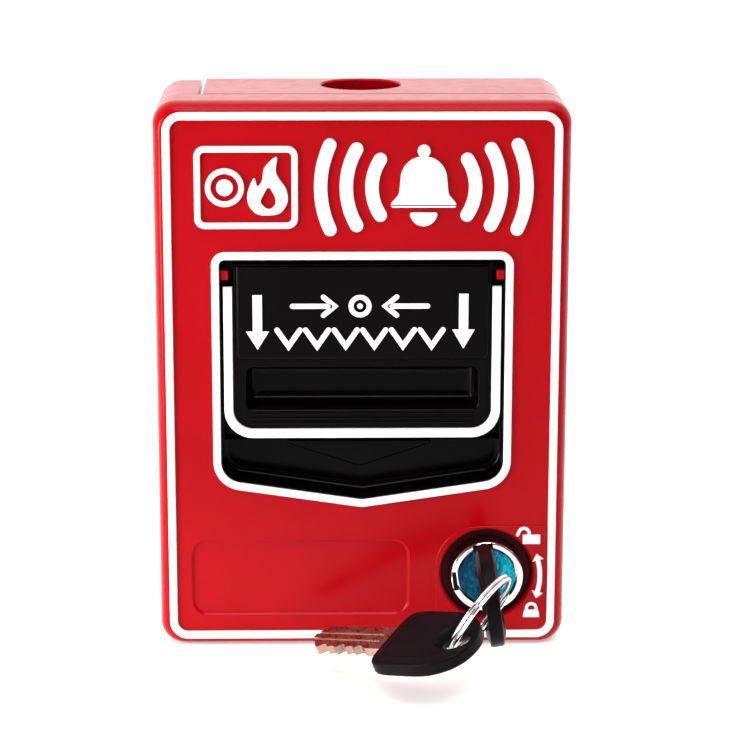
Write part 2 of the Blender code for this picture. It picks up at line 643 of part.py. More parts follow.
def make_handle_well():
    """A black tray behind the window: open behind the handle, floored below it."""
    tray = slab_y(window_outline(0.0018), WELL_FRONT, WELL_REAR, "handle_well")
    flange = round_rect(FLANGE_HW, FLANGE_HH, 0.003)
    join(tray, slab_y(flange, WELL_FRONT, WELL_FRONT + FLANGE_T, "well_flange"))
    cut(tray, slab_y(window_outline(WELL_SIDE_GAP), -0.036, WELL_FLOOR, "well_hollow"))
    wide, narrow = HANDLE_HW + WELL_SIDE_GAP, NOTCH_HW + WELL_SIDE_GAP
    top = WIN_TOP + WELL_SIDE_GAP
    cut(tray, box((-wide, -0.030, WELL_LEDGE_Z), (wide, -0.020, U_TOP + WELL_SIDE_GAP), "handle_opening"))
    cut(tray, box((-narrow, -0.030, U_TOP), (narrow, -0.020, top), "handle_top_opening"))
    ledge = WELL_LEDGE_Z - FIT
    join(tray, box((-wide, WELL_FLOOR + 0.0004, ledge - 0.0030), (wide, WELL_BACK_REAR, ledge), "ledge"))
    join(tray, box((-wide, WELL_BACK_FRONT, ledge - 0.0010), (wide, WELL_BACK_REAR, WELL_BACK_TOP),
                   "well_back"))
    arm_gap = ARM_HW + WELL_SIDE_GAP
    cut(tray, box((ARM_X - arm_gap, WELL_REAR + 0.0002, -0.040), (ARM_X + arm_gap, -0.020, 0.0), "arm_slot"))
    facet = [(FACET_RIGHT, FACET_TOP), (FACET_LEFT, FACET_TOP), ((FACET_LEFT + FACET_RIGHT) / 2, FACET_TIP)]
    join(tray, slab_y(facet, WELL_FLOOR - 0.0005, WELL_FLOOR + 0.0001, "well_facet"))
    cut(tray, *[rod_y(x, z, -0.036, -0.030, STAKE_R + FIT, "stake_hole", 10) for x, z in STAKES])
    return node(tray, "handle_well", "black_abs")


well = make_handle_well()


# ---------------------------------------------------------------- chassis behind the handle

def make_chassis():
    plate = slab_y(
        fillet([(CHASSIS_HW, CHASSIS_TOP), (-CHASSIS_HW, CHASSIS_TOP), (-CHASSIS_HW, CHASSIS_BOTTOM),
                (CHASSIS_HW, CHASSIS_BOTTOM)], [0.002] * 4, 3),
        CHASSIS_FRONT, CHASSIS_REAR, "inner_chassis",
    )
    join(plate, slab_y(
        fillet([(TONGUE_HW, TONGUE_TOP), (-TONGUE_HW, TONGUE_TOP), (-TONGUE_HW, TONGUE_BOTTOM),
                (TONGUE_HW, TONGUE_BOTTOM)], [0, 0, 0.0015, 0.0015], 3),
        CHASSIS_FRONT, CHASSIS_REAR, "switch_tongue"))
    join(plate, *[rod_y(x, z, -0.0210, CHASSIS_FRONT + 0.0004, 0.0021, "switch_spacer", 12)
                  for x, z in SWITCH_SCREWS])
    join(plate, *[rod_y(x, z, CHASSIS_REAR - 0.0004, CHASSIS_REAR + 0.0009, 0.0022, "board_spacer", 12)
                  for x, z in BOARD_SCREWS])
    cut(plate, *[rod_y(x, z, -0.022, -0.015, 0.0013, "chassis_hole", 10) for x, z in STANDOFFS])
    cut(plate, *[rod_y(x, z, -0.022, -0.015, PILOT_R, "fixing_hole", 10)
                 for x, z in SWITCH_SCREWS + BOARD_SCREWS])
    cut(plate, *[rod_y(x, GUIDE_Z, -0.022, -0.015, GUIDE_R + 0.0001, "guide_hole", 16)
                 for x in (GUIDE_X, -GUIDE_X)])
    return node(plate, "inner_chassis", "steel")


chassis = make_chassis()
chassis_screws = [
    screw(f"chassis_screw_{n}", x, z, CHASSIS_REAR + FIT, -0.0265, 0.0023, 0.0010)
    for n, (x, z) in enumerate(STANDOFFS, 1)
]


# ---------------------------------------------------------------- push carriage

def make_carriage():
    plate = slab_y(
        fillet([(CARRIAGE_HW, CARRIAGE_TOP), (-CARRIAGE_HW, CARRIAGE_TOP), (-CARRIAGE_HW, CARRIAGE_LOW),
                (CARRIAGE_HW, CARRIAGE_LOW)], [0.002] * 4, 4),
        CARRIAGE_FRONT, CARRIAGE_REAR, "push_carriage",
    )
    for x in (LUG_X, -LUG_X):
        cut(plate, box((x - 0.0016, -0.030, LUG_LOW - PULL_TRAVEL - 0.0004),
                       (x + 0.0016, -0.025, LUG_TOP + 0.0004)))
        join(plate, box((x - SHELF_HW, CARRIAGE_REAR - 0.0004, CARRIAGE_LOW),
                        (x + SHELF_HW, SHELF_REAR, SHELF_TOP), "shelf"))
    for x in (GUIDE_X, -GUIDE_X):
        join(plate, rod_y(x, GUIDE_Z, CARRIAGE_REAR - 0.0004, GUIDE_END, GUIDE_R, "guide_post", 16))
        groove = rod_y(x, GUIDE_Z, CLIP_Y - 0.0004, CLIP_Y + 0.0004, GUIDE_R + 0.001, "clip_groove", 16)
        cut(groove, rod_y(x, GUIDE_Z, -0.020, -0.014, GUIDE_R - 0.0004, "groove_core", 16))
        cut(plate, groove)
    return node(plate, "push_carriage", "grey_plastic")


push_body = carrier("push_axis", (0, CARRIAGE_FRONT, 0), cover_body)
carriage = make_carriage()


def make_spring(name, axis, x, y, z, start, end, radius, wire, turns):
    """A compression coil from start to end along y or z, at x and the other coordinate."""
    up = {"y": (0, 1, 0), "z": (0, 0, 1)}[axis]
    centre = (x, 0, z) if axis == "y" else (x, y, 0)
    coil = tube(helix(centre, radius, start + wire, end - wire, turns, 9, up), wire, name, resolution=0)
    return node(coil, name, "steel")


push_springs = [
    make_spring(f"push_spring_{side}", "y", x, 0, GUIDE_Z, CARRIAGE_REAR + FIT, CHASSIS_FRONT - FIT,
                PUSH_SPRING_R, PUSH_WIRE_R, PUSH_TURNS)
    for side, x in (("left", -GUIDE_X), ("right", GUIDE_X))
]
return_springs = [
    make_spring(f"return_spring_{side}", "z", x, SPRING_Y, 0, SHELF_TOP + FIT, LUG_LOW - FIT,
                RETURN_SPRING_R, RETURN_WIRE_R, RETURN_TURNS)
    for side, x in (("left", -LUG_X), ("right", LUG_X))
]


def make_clip(name, x):
    ring = rod_y(x, GUIDE_Z, CLIP_Y - CLIP_T / 2, CLIP_Y + CLIP_T / 2, CLIP_R, name, 16)
    cut(ring, rod_y(x, GUIDE_Z, -0.018, -0.016, GUIDE_R - 0.0002, "clip_bore", 16))
    cut(ring, box((x - 0.0008, -0.018, GUIDE_Z), (x + 0.0008, -0.016, GUIDE_Z + 0.004), "clip_mouth"))
    return node(ring, name, "steel")


guide_clips = [make_clip(f"guide_clip_{side}", x) for side, x in (("left", -GUIDE_X), ("right", GUIDE_X))]


# ---------------------------------------------------------------- pull handle

def make_handle():
    body = slab_y(handle_outline(), HANDLE_FRONT, HANDLE_REAR, "pull_handle")
    for side in (1, -1):
        inner, outer = sorted((side * NOTCH_HW, side * 0.040))
        cut(body, box((inner, -0.040, U_TOP), (outer, -0.020, 0.030), "peg_notch"))
    face = fillet(
        [(HANDLE_HW - U_W, 0.030), (U_W - HANDLE_HW, 0.030), (U_W - HANDLE_HW, HANDLE_BOTTOM + U_W),
         (HANDLE_HW - U_W, HANDLE_BOTTOM + U_W)], [0, 0, HANDLE_R - U_W, HANDLE_R - U_W])
    cut(body, slab_y(face, -0.040, PANEL_Y, "panel_step"))
    pocket = fillet([(POCKET_HW, POCKET_TOP), (-POCKET_HW, POCKET_TOP), (-POCKET_HW, POCKET_BOTTOM),
                     (POCKET_HW, POCKET_BOTTOM)], [POCKET_R] * 4, 5)
    cut(body, slab_y(pocket, -0.040, PANEL_Y + POCKET_DEPTH, "finger_pocket"))
    groove_hw = POCKET_HW - 0.0008
    for k in range(3):
        z = POCKET_BOTTOM - 0.0008 - GROOVE_PITCH * k
        cut(body, box((-groove_hw, -0.040, z - GROOVE_HH),
                      (groove_hw, PANEL_Y + GROOVE_DEPTH, z + GROOVE_HH), "groove"))
    cut(body, box((-0.035, BAR_REAR, -0.020), (0.035, -0.020, POCKET_BOTTOM - HANDLE_WALL), "bar_relief"))
    cut(body, box((-POCKET_HW, PANEL_Y + 0.0020, POCKET_TOP + HANDLE_WALL),
                  (POCKET_HW, HANDLE_REAR - HANDLE_WALL, 0.030), "hollow_behind_panel"))
    for x in (LUG_X, -LUG_X):
        join(body, box((x - LUG_NECK_HW, HANDLE_REAR - 0.0004, LUG_LOW),
                       (x + LUG_NECK_HW, -0.0260, LUG_TOP), "lug_neck"))
        join(body, box((x - LUG_HEAD_HW, LUG_NECK_REAR, LUG_LOW),
                       (x + LUG_HEAD_HW, SHELF_REAR, LUG_TOP), "lug_head"))
    join(body, box((ARM_X - ARM_HW, HANDLE_REAR - 0.0004, POCKET_BOTTOM - 0.0010),
                   (ARM_X + ARM_HW, ARM_REAR, CARRIAGE_LOW - 0.0012), "arm_root"))
    join(body, box((ARM_X - ARM_HW, ARM_FRONT, ARM_LOW), (ARM_X + ARM_HW, ARM_REAR, CARRIAGE_LOW - 0.0020),
                   "arm"))
    return node(body, "pull_handle", "black_abs")


pull_body = carrier("pull_axis", (0, HANDLE_REAR, HANDLE_TOP), push_body)
handle = make_handle()


# ---------------------------------------------------------------- microswitch

def make_switch():
    """A snap-action switch with two ears that hold the lever's pin."""
    right = SWITCH_RIGHT
    body = box((right - SWITCH_W, SWITCH_FRONT, SWITCH_LOW), (right, SWITCH_REAR, SWITCH_TOP), "switch_body")
    ears = box((PIVOT_X - 0.0014, SWITCH_FRONT, SWITCH_TOP - 0.0004),
               (right, SWITCH_REAR, PIVOT_Z + 0.0013), "ears")
    slot_hw = LEVER_HW + FIT
    cut(ears, box((PIVOT_X - 0.004, SWITCH_MID_Y - slot_hw, SWITCH_TOP),
                  (PIVOT_X + 0.004, SWITCH_MID_Y + slot_hw, PIVOT_Z + 0.003), "lever_slot"))
    join(body, ears)
    cut(body, rod_y(PIVOT_X, PIVOT_Z, -0.030, -0.020, LEVER_BORE_R, "pivot_hole", 16))
    cut(body, rod_z(PLUNGER_X, SWITCH_MID_Y, SWITCH_TOP - 0.0052, SWITCH_TOP + 0.001,
                    PLUNGER_R + PIN_PLAY, "plunger_hole", 16))
    cut(body, *[rod_y(x, z, -0.030, -0.020, PILOT_R, "switch_hole", 10) for x, z in SWITCH_SCREWS])
    cut(body, *[box((x - TAB_HW - FIT, SWITCH_MID_Y - TAB_T / 2 - FIT, SWITCH_LOW - 0.001),
                    (x + TAB_HW + FIT, SWITCH_MID_Y + TAB_T / 2 + FIT, SWITCH_LOW + 0.0015),
                    "tab_slot") for x in TAB_X])
    return node(body, "switch_body", "grey_plastic", smooth=False)


switch = make_switch()
lever_pin = node(rod_y(PIVOT_X, PIVOT_Z, SWITCH_FRONT + 0.0002, SWITCH_REAR - 0.0002, LEVER_PIN_R,
                       "lever_pin", 16),
                 "lever_pin", "steel")


def make_tab(name, x):
    tab = box((x - TAB_HW, SWITCH_MID_Y - TAB_T / 2, SWITCH_LOW - TAB_L),
              (x + TAB_HW, SWITCH_MID_Y + TAB_T / 2, SWITCH_LOW + 0.0012), name)
    cut(tab, rod_y(x, SWITCH_LOW - 0.0026, -0.030, -0.020, 0.0006, "tab_eye", 12))
    return node(tab, name, "brass", smooth=False)


switch_tabs = [make_tab(f"switch_tab_{n}", x) for n, x in enumerate(TAB_X, 1)]
switch_screws = [
    screw(f"switch_screw_{n}", x, z, SWITCH_FRONT - FIT, -0.0180, 0.0017, 0.0009, facing=-1)
    for n, (x, z) in enumerate(SWITCH_SCREWS, 1)
]


def make_switch_lever():
    """A strip from a hub round the pin to a rolled tip under the handle's arm."""
    form = bmesh.new()
    bmesh.ops.create_cube(form, size=1)
    bmesh.ops.scale(form, vec=(LEVER_L - 0.0012, LEVER_HW * 2, LEVER_T), verts=form.verts)
    bmesh.ops.translate(form, vec=(-LEVER_L / 2, 0, 0), verts=form.verts)
    strip = from_bmesh("switch_lever", form, (PIVOT_X, SWITCH_MID_Y, PIVOT_Z), (0, LEVER_TILT, 0))
    front, rear = SWITCH_MID_Y - LEVER_HW, SWITCH_MID_Y + LEVER_HW
    join(strip, rod_y(PIVOT_X, PIVOT_Z, front, rear, HUB_R, "lever_hub", 14))
    join(strip, rod_y(ARM_X, PIVOT_Z + LEVER_L * sin(LEVER_TILT), front, rear, TIP_R, "lever_tip", 14))
    cut(strip, rod_y(PIVOT_X, PIVOT_Z, -0.030, -0.020, LEVER_BORE_R, "hub_hole", 16))
    return node(strip, "switch_lever", "steel")


lever_body = carrier("lever_axis", (PIVOT_X, SWITCH_MID_Y, PIVOT_Z), cover_body)
lever = make_switch_lever()
plunger_body = carrier("plunger_axis", (PLUNGER_X, SWITCH_MID_Y, SWITCH_TOP), cover_body)
plunger = node(rod_z(PLUNGER_X, SWITCH_MID_Y, SWITCH_TOP - 0.0026, PLUNGER_TOP, PLUNGER_R,
                     "switch_plunger", 16),
               "switch_plunger", "red_abs")


# ---------------------------------------------------------------- circuit board and wiring

def make_board():
    board = slab_y(
        fillet([(BOARD_HW, BOARD_TOP), (-BOARD_HW, BOARD_TOP), (-BOARD_HW, BOARD_LOW), (BOARD_HW, BOARD_LOW)],
               [0.001] * 4, 3),
        BOARD_FRONT, BOARD_REAR, "circuit_board",
    )
    cut(board, *[rod_y(x, z, -0.018, -0.012, PILOT_R, "board_hole", 10) for x, z in BOARD_SCREWS])
    return node(board, "circuit_board", "circuit_board", smooth=False)


def make_terminal_block():
    """A block with a screw well and a wire mouth below it for each pole."""
    block = box((-BLOCK_HW, BOARD_REAR + FIT, BLOCK_Z - BLOCK_HH),
                (BLOCK_HW, BLOCK_REAR, BLOCK_Z + BLOCK_HH), "terminal_block")
    for x in POLES:
        cut(block, rod_y(x, BLOCK_Z + 0.0006, BLOCK_REAR - 0.0050, BLOCK_REAR + 0.001, POLE_WELL_R,
                         "screw_well", 12))
        cut(block, box((x - POLE_WELL_R, BLOCK_REAR - 0.0078, BLOCK_Z - 0.006),
                       (x + POLE_WELL_R, BLOCK_REAR - 0.0040, BLOCK_Z - 0.0016), "wire_mouth"))
    return node(block, "terminal_block", "grey_plastic", smooth=False)


def make_header():
    """A two-way socket on the board, open below."""
    header = box((-HEADER_HW, BOARD_REAR + FIT, HEADER_Z - HEADER_HH),
                 (HEADER_HW, BOARD_REAR + HEADER_DEEP, HEADER_Z + HEADER_HH), "wire_header")
    cut(header, *[rod_z(x, BOARD_REAR + 0.0026, HEADER_Z - 0.003, HEADER_Z + 0.0006, 0.0010,
                        "header_socket", 10)
                  for x in (-HEADER_X, HEADER_X)])
    return node(header, "wire_header", "grey_plastic", smooth=False)


board = make_board()
board_screws = [
    screw(f"board_screw_{n}", x, z, BOARD_REAR + FIT, CHASSIS_REAR - 0.0012, 0.0019, 0.0009)
    for n, (x, z) in enumerate(BOARD_SCREWS, 1)
]
terminal_block = make_terminal_block()
terminal_screws = [
    screw(f"terminal_screw_{n}", x, BLOCK_Z + 0.0006, BLOCK_REAR - 0.0020, BLOCK_REAR - 0.0045, 0.0016,
          0.0010)
    for n, x in enumerate(POLES, 1)
]
header = make_header()


def smooth_route(stops, count):
    """Points of an even curve through the stops."""
    stops = [Vector(s) for s in stops]
    padded = [stops[0] * 2 - stops[1]] + stops + [stops[-1] * 2 - stops[-2]]
    out = []
    for k in range(count + 1):
        t = k / count * (len(stops) - 1)
        i = min(int(t), len(stops) - 2)
        f = t - i
        p0, p1, p2, p3 = padded[i:i + 4]
        out.append(0.5 * (2 * p1 + (p2 - p0) * f + (2 * p0 - 5 * p1 + 4 * p2 - p3) * f ** 2
                          + (3 * p1 - p0 - 3 * p2 + p3) * f ** 3))
    return out


def make_wire(name, material, tab_x, header_x):
    """From under a switch tab, round behind the chassis and up into the header."""
    low = SWITCH_LOW - TAB_L - FIT
    socket_y = BOARD_REAR + 0.0026
    route = [
        (tab_x, SWITCH_MID_Y, low), (tab_x, SWITCH_MID_Y + 0.0004, low - 0.0018),
        (tab_x, SWITCH_MID_Y + 0.0040, low - 0.0030), (tab_x, CHASSIS_REAR + 0.0008, low - 0.0012),
        (tab_x * 0.8 + header_x * 0.2, CHASSIS_REAR + 0.0024, -0.0380),
        (tab_x * 0.3 + header_x * 0.7, CHASSIS_REAR + 0.0030, -0.0180),
        (header_x, CHASSIS_REAR + 0.0040, -0.0030), (header_x, socket_y, HEADER_Z - 0.0030),
        (header_x, socket_y, HEADER_Z - 0.0008),
    ]
    return node(tube(smooth_route(route, 24), WIRE_R, name, resolution=1), name, material)


wires = [
    make_wire("switch_wire_red", "red_abs", TAB_X[0], -HEADER_X),
    make_wire("switch_wire_black", "black_abs", TAB_X[2], HEADER_X),
]


# ---------------------------------------------------------------- cam lock

def lock_bar(half_w, half_t, front, rear, name="keyway", shift=0.0):
    """A block along the lock's axis, turned with the key."""
    form = bmesh.new()
    bmesh.ops.create_cube(form, size=1)
    bmesh.ops.scale(form, vec=(half_t * 2, rear - front, half_w * 2), verts=form.verts)
    bmesh.ops.translate(form, vec=(0, 0, shift), verts=form.verts)
    return from_bmesh(name, form, (LOCK_X, (front + rear) / 2, LOCK_Z), (0, -LOCK_CLOCK, 0))


def make_lock_body():
    body = rod_y(LOCK_X, LOCK_Z, BEZEL_FRONT, LOCK_RECESS_Y - FIT, BEZEL_R, "lock_body", 36)
    soften(body, 0.0005, 1)
    join(body, rod_y(LOCK_X, LOCK_Z, LOCK_RECESS_Y - 0.001, BARREL_END, BARREL_R, "barrel", 28))
    cut(body, rod_y(LOCK_X, LOCK_Z, -0.042, FACE_FRONT + FACE_T + 0.0004, PLUG_FACE_R + 0.0002,
                    "face_seat", 28))
    cut(body, rod_y(LOCK_X, LOCK_Z, -0.042, -0.010, PLUG_R + 0.0001, "plug_bore", 28))
    for quarter in (0, 1):
        form = bmesh.new()
        bmesh.ops.create_cube(form, size=1)
        bmesh.ops.scale(form, vec=(0.0046, 0.0034, 0.0030), verts=form.verts)
        bmesh.ops.translate(form, vec=(0, 0, PLUG_FACE_R - 0.0006), verts=form.verts)
        notch = from_bmesh("bezel_notch", form, (LOCK_X, BEZEL_FRONT, LOCK_Z),
                           (0, -LOCK_CLOCK - quarter * pi / 2, 0))
        cut(body, notch)
    return node(body, "lock_body", "chrome")


def make_lock_nut():
    hexagon = [(LOCK_X + NUT_R * cos(pi / 3 * k), LOCK_Z + NUT_R * sin(pi / 3 * k)) for k in range(6)]
    nut = slab_y(hexagon, NUT_FRONT, NUT_FRONT + NUT_T, "lock_nut")
    cut(nut, rod_y(LOCK_X, LOCK_Z, -0.040, -0.020, BARREL_R + 0.0001, "nut_thread", 28))
    return node(nut, "lock_nut", "steel")


def make_lock_washer():
    washer = rod_y(LOCK_X, LOCK_Z, WASHER_FRONT, WASHER_FRONT + WASHER_T, WASHER_R, "lock_washer", 28)
    cut(washer, rod_y(LOCK_X, LOCK_Z, -0.040, -0.020, BARREL_R + 0.0002, "washer_hole", 28))
    return node(washer, "lock_washer", "steel")


def make_plug():
    plug = rod_y(LOCK_X, LOCK_Z, FACE_FRONT + FACE_T + FIT, BARREL_END + FIT, PLUG_R, "lock_plug", 28)
    cut(plug, lock_bar(BLADE_W / 2 + FIT, KEY_T / 2 + FIT, -0.042, BLADE_TIP_Y + 0.0008))
    cut(plug, rod_y(LOCK_X, LOCK_Z, -0.0195, -0.010, 0.0016, "cam_screw_hole", 16))
    return node(plug, "lock_plug", "brass")


def make_plug_face():
    face = rod_y(LOCK_X, LOCK_Z, FACE_FRONT, FACE_FRONT + FACE_T, PLUG_FACE_R, "plug_face", 28)
    cut(face, lock_bar(BLADE_W / 2 + FIT, KEY_T / 2 + FIT, -0.042, -0.030, "face_slot"))
    return node(face, "plug_face", "teal_foil")


def make_cam():
    """A flat tail that hangs from a round hub."""
    hub = [(LOCK_X + CAM_HUB_R * cos(a), LOCK_Z + CAM_HUB_R * sin(a)) for a in
           [radians(-41 + 262 / 14 * k) for k in range(15)]]
    end, chamfer = LOCK_Z - CAM_REACH, 0.001
    tail = [(LOCK_X - CAM_HW, end + chamfer), (LOCK_X - CAM_HW + chamfer, end),
            (LOCK_X + CAM_HW - chamfer, end), (LOCK_X + CAM_HW, end + chamfer)]
    cam = slab_y(hub + tail, BARREL_END + 2 * FIT, BARREL_END + 2 * FIT + CAM_T, "lock_cam")
    cut(cam, rod_y(LOCK_X, LOCK_Z, -0.020, -0.010, 0.0018, "cam_hole", 16))
    return node(cam, "lock_cam", "steel")


lock_body = make_lock_body()
lock_nut = make_lock_nut()
lock_washer = make_lock_washer()
lock_carrier = carrier("lock_axis", (LOCK_X, BEZEL_FRONT, LOCK_Z), cover_body)
plug = make_plug()
plug_face = make_plug_face()
cam = make_cam()
cam_screw = screw("cam_screw", LOCK_X, LOCK_Z, BARREL_END + 3 * FIT + CAM_T, -0.0190, 0.0028, 0.0014)


# ---------------------------------------------------------------- keys and split ring

def key_frame(hole, tip_to_bow, up):
    """A key's local frame: origin at the ring hole, +X from tip to bow, +Y across the blade."""
    x = Vector(tip_to_bow).normalized()
    y = (Vector(up) - x * x.dot(Vector(up))).normalized()
    z = x.cross(y)
    turn = Matrix((x, y, z)).transposed().to_4x4()
    return Matrix.Translation(hole) @ turn


def bow_outline(scale=1.0, steps=14):
    """A round end past the ring hole and a square end towards the blade."""
    centre = BOW_HOLE_IN - BOW_L / 2
    points = []
    for k in range(4 * steps):
        a = 2 * pi * k / (4 * steps)
        power = 2.15 if cos(a) > 0 else 6.5
        x = abs(cos(a)) ** (2 / power) * (1 if cos(a) > 0 else -1) * BOW_L / 2
        y = abs(sin(a)) ** (2 / power) * (1 if sin(a) > 0 else -1) * BOW_HW
        points.append((centre + x * scale, y * scale))
    return points


def bow_solid(name):
    """The bow in its own plane: a thin rim, and a sloping shoulder up to a thick panel on each side."""
    form = bmesh.new()
    thick, thin = BOW_T / 2, BOW_RIM_T / 2
    levels = [(-thick, BOW_PANEL), (-thin, BOW_SHOULDER), (-thin, 1.0), (thin, 1.0), (thin, BOW_SHOULDER),
              (thick, BOW_PANEL)]
    loops = [[form.verts.new((x, y, z)) for x, y in bow_outline(scale)] for z, scale in levels]
    for near, far in zip(loops, loops[1:]):
        for i in range(len(near)):
            form.faces.new((near[i - 1], near[i], far[i], far[i - 1]))
    form.faces.new(loops[0])
    form.faces.new(loops[-1])
    return from_bmesh(name, form)


def blade_outline():
    """Straight back, pointed tip, and a row of cuts of differing depths along the lower edge."""
    half = BLADE_W / 2
    points = [(BLADE_ROOT, half), (BLADE_TIP + 0.0030, half), (BLADE_TIP, half * 0.35),
              (BLADE_TIP, -half * 0.1),
              (BLADE_TIP + 0.0026, -half)]
    first_cut = BLADE_TIP + 0.0034
    for k, depth in enumerate(CUT_DEPTHS):
        start = first_cut + k * CUT_PITCH
        points += [(start, -half), (start + CUT_PITCH * 0.34, depth - half),
                   (start + CUT_PITCH * 0.62, depth - half)]
    return points + [(first_cut + len(CUT_DEPTHS) * CUT_PITCH + 0.0004, -half), (BLADE_ROOT, -half)]


def placed(shape, frame):
    """A cutter or block made in a key's local frame, put in place."""
    shape.matrix_basis = frame @ shape.matrix_basis
    return shape


def local_box(low, high, frame, name="block"):
    shape = box(low, high, name)
    bpy.context.view_layer.update()
    return placed(shape, frame)


def make_key_blade(name, frame):
    """A brass blade with two milled grooves along each side."""
    blade = placed(put(name, flat(blade_outline(), KEY_T, name)), frame)
    shoulder = BOW_HOLE_IN - BOW_L - 0.002
    for side in (1, -1):
        for y in (0.0013, -0.0009):
            low, high = sorted((side * (KEY_T / 2 - MILLING_DEPTH), side * (KEY_T / 2 + 0.001)))
            cut(blade, local_box((BLADE_TIP - 0.001, y - MILLING_HW, low),
                                 (shoulder, y + MILLING_HW, high), frame))
    return node(blade, name, "brass", smooth=False)


def make_key_head(name, frame):
    """A plastic bow over the blade's root, with a countersunk ring hole."""
    head = placed(bow_solid(name), frame)
    soften(head, 0.0003, 1)
    flat_end = BOW_HOLE_IN - BOW_L
    socket_hw, socket_ht = BLADE_W / 2 + FIT, KEY_T / 2 + FIT
    socket = local_box((flat_end - 0.001, -socket_hw, -socket_ht), (BLADE_ROOT + FIT, socket_hw, socket_ht),
                       frame, "blade_socket")
    cut(head, socket, placed(rod("z", (0, 0, 0), BOW_HOLE_R, 0.010, "ring_hole", 24), frame))
    narrow, wide = BOW_HOLE_R, BOW_HOLE_R + COUNTERSINK
    for side, low, high in ((1, narrow, wide), (-1, wide, narrow)):
        place = (0, 0, side * (BOW_T / 2 - 0.0003))
        cut(head, placed(rod("z", place, low, COUNTERSINK, "countersink", 24, end_radius=high), frame))
    return node(head, name, "key_plastic")


key_place = key_frame(KEY_HOLE, (0, -1, 0), KEY_UP)
spare_place = key_frame(SPARE_HOLE, -SPARE_AXIS, SPARE_NORMAL.cross(-SPARE_AXIS))

key_body = carrier("key_axis", (LOCK_X, BOW_REAR_Y, LOCK_Z), lock_carrier)
key_blade = make_key_blade("key_blade", key_place)
key_head = make_key_head("key_head", key_place)

ring_body = carrier("ring_axis", KEY_HOLE, key_body)
coil = helix(RING_CENTRE, RING_R, -RING_PITCH, RING_PITCH, 2, 30, RING_NORMAL, RING_START)
ring = node(tube(coil, RING_WIRE_R, "split_ring", resolution=1), "split_ring", "chrome")

spare_body = carrier("spare_axis", SPARE_HOLE, ring_body)
spare_blade = make_key_blade("spare_key_blade", spare_place)
spare_head = make_key_head("spare_key_head", spare_place)


# ---------------------------------------------------------------- which body carries what

bpy.context.view_layer.update()
ride(cover_body, cover, well, chassis, *chassis_screws, switch, lever_pin, *switch_tabs, *switch_screws,
     board, *board_screws, terminal_block, *terminal_screws, header, *wires, lock_body, lock_nut, lock_washer)
ride(push_body, carriage, *push_springs, *return_springs, *guide_clips)
ride(pull_body, handle)
ride(lever_body, lever)
ride(plunger_body, plunger)
ride(lock_carrier, plug, plug_face, cam, cam_screw)
ride(key_body, key_blade, key_head)
ride(ring_body, ring)
ride(spare_body, spare_blade, spare_head)
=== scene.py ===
"""Looks for the manual call point: fine shells, raised symbols, keys, lock
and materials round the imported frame.
Drawing sizes are in millimetres, in the frame's own axes: +X right, +Y into the wall, +Z up."""

import json
from math import atan2, cos, pi, radians, sin, sqrt, tan

import bmesh
import bpy
from mathutils import Matrix, Vector

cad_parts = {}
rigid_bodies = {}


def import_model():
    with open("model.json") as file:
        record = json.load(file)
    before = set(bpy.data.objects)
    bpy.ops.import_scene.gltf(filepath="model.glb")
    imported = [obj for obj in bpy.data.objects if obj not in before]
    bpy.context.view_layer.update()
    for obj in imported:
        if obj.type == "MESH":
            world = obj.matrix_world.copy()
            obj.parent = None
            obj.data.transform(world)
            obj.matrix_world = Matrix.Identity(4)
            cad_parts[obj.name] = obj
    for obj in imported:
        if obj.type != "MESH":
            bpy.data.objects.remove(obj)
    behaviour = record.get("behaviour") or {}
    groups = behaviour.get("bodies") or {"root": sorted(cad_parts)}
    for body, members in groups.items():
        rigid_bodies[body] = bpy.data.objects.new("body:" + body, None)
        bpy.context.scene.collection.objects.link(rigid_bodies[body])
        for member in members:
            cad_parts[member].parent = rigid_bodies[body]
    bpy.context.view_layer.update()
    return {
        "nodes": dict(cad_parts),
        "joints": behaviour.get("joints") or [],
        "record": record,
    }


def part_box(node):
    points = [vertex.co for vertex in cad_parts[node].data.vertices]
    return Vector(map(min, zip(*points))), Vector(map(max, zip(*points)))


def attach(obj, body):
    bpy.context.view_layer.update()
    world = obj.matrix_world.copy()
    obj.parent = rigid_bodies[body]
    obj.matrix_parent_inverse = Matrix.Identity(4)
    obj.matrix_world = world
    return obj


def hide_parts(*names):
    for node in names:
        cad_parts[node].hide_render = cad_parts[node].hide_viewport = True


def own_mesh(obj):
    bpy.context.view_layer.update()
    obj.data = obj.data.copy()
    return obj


for left_over in list(bpy.data.objects):
    bpy.data.objects.remove(left_over, do_unlink=True)

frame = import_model()
MM = 0.001
JOINTS = {joint["name"]: joint for joint in frame["joints"]}


def corners(node):
    """Lowest and highest corner of a CAD node, in millimetres."""
    low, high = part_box(node)
    return Vector(low) / MM, Vector(high) / MM


# ---- sizes

COVER_LOW, COVER_HIGH = corners("front_cover")
BOX_LOW, _ = corners("rear_housing")
WELL_LOW, WELL_HIGH = corners("handle_well")
HANDLE_LOW, HANDLE_HIGH = corners("pull_handle")
LOCK_X, _, LOCK_Z = (v / MM for v in JOINTS["lock_turn"]["pos_m"])
HINGE_X, HINGE_Y, _ = (v / MM for v in JOINTS["cover_hinge"]["pos_m"])
KEY_HOLE = Vector(JOINTS["ring_swing"]["pos_m"]) / MM
SPARE_HOLE = Vector(JOINTS["spare_key_swing"]["pos_m"]) / MM
SPARE_NORMAL = Vector(JOINTS["spare_key_swing"]["axis"])
SPARE_AXIS = Vector((-0.775, 0.603, -0.187))  # from the ring hole to the tip

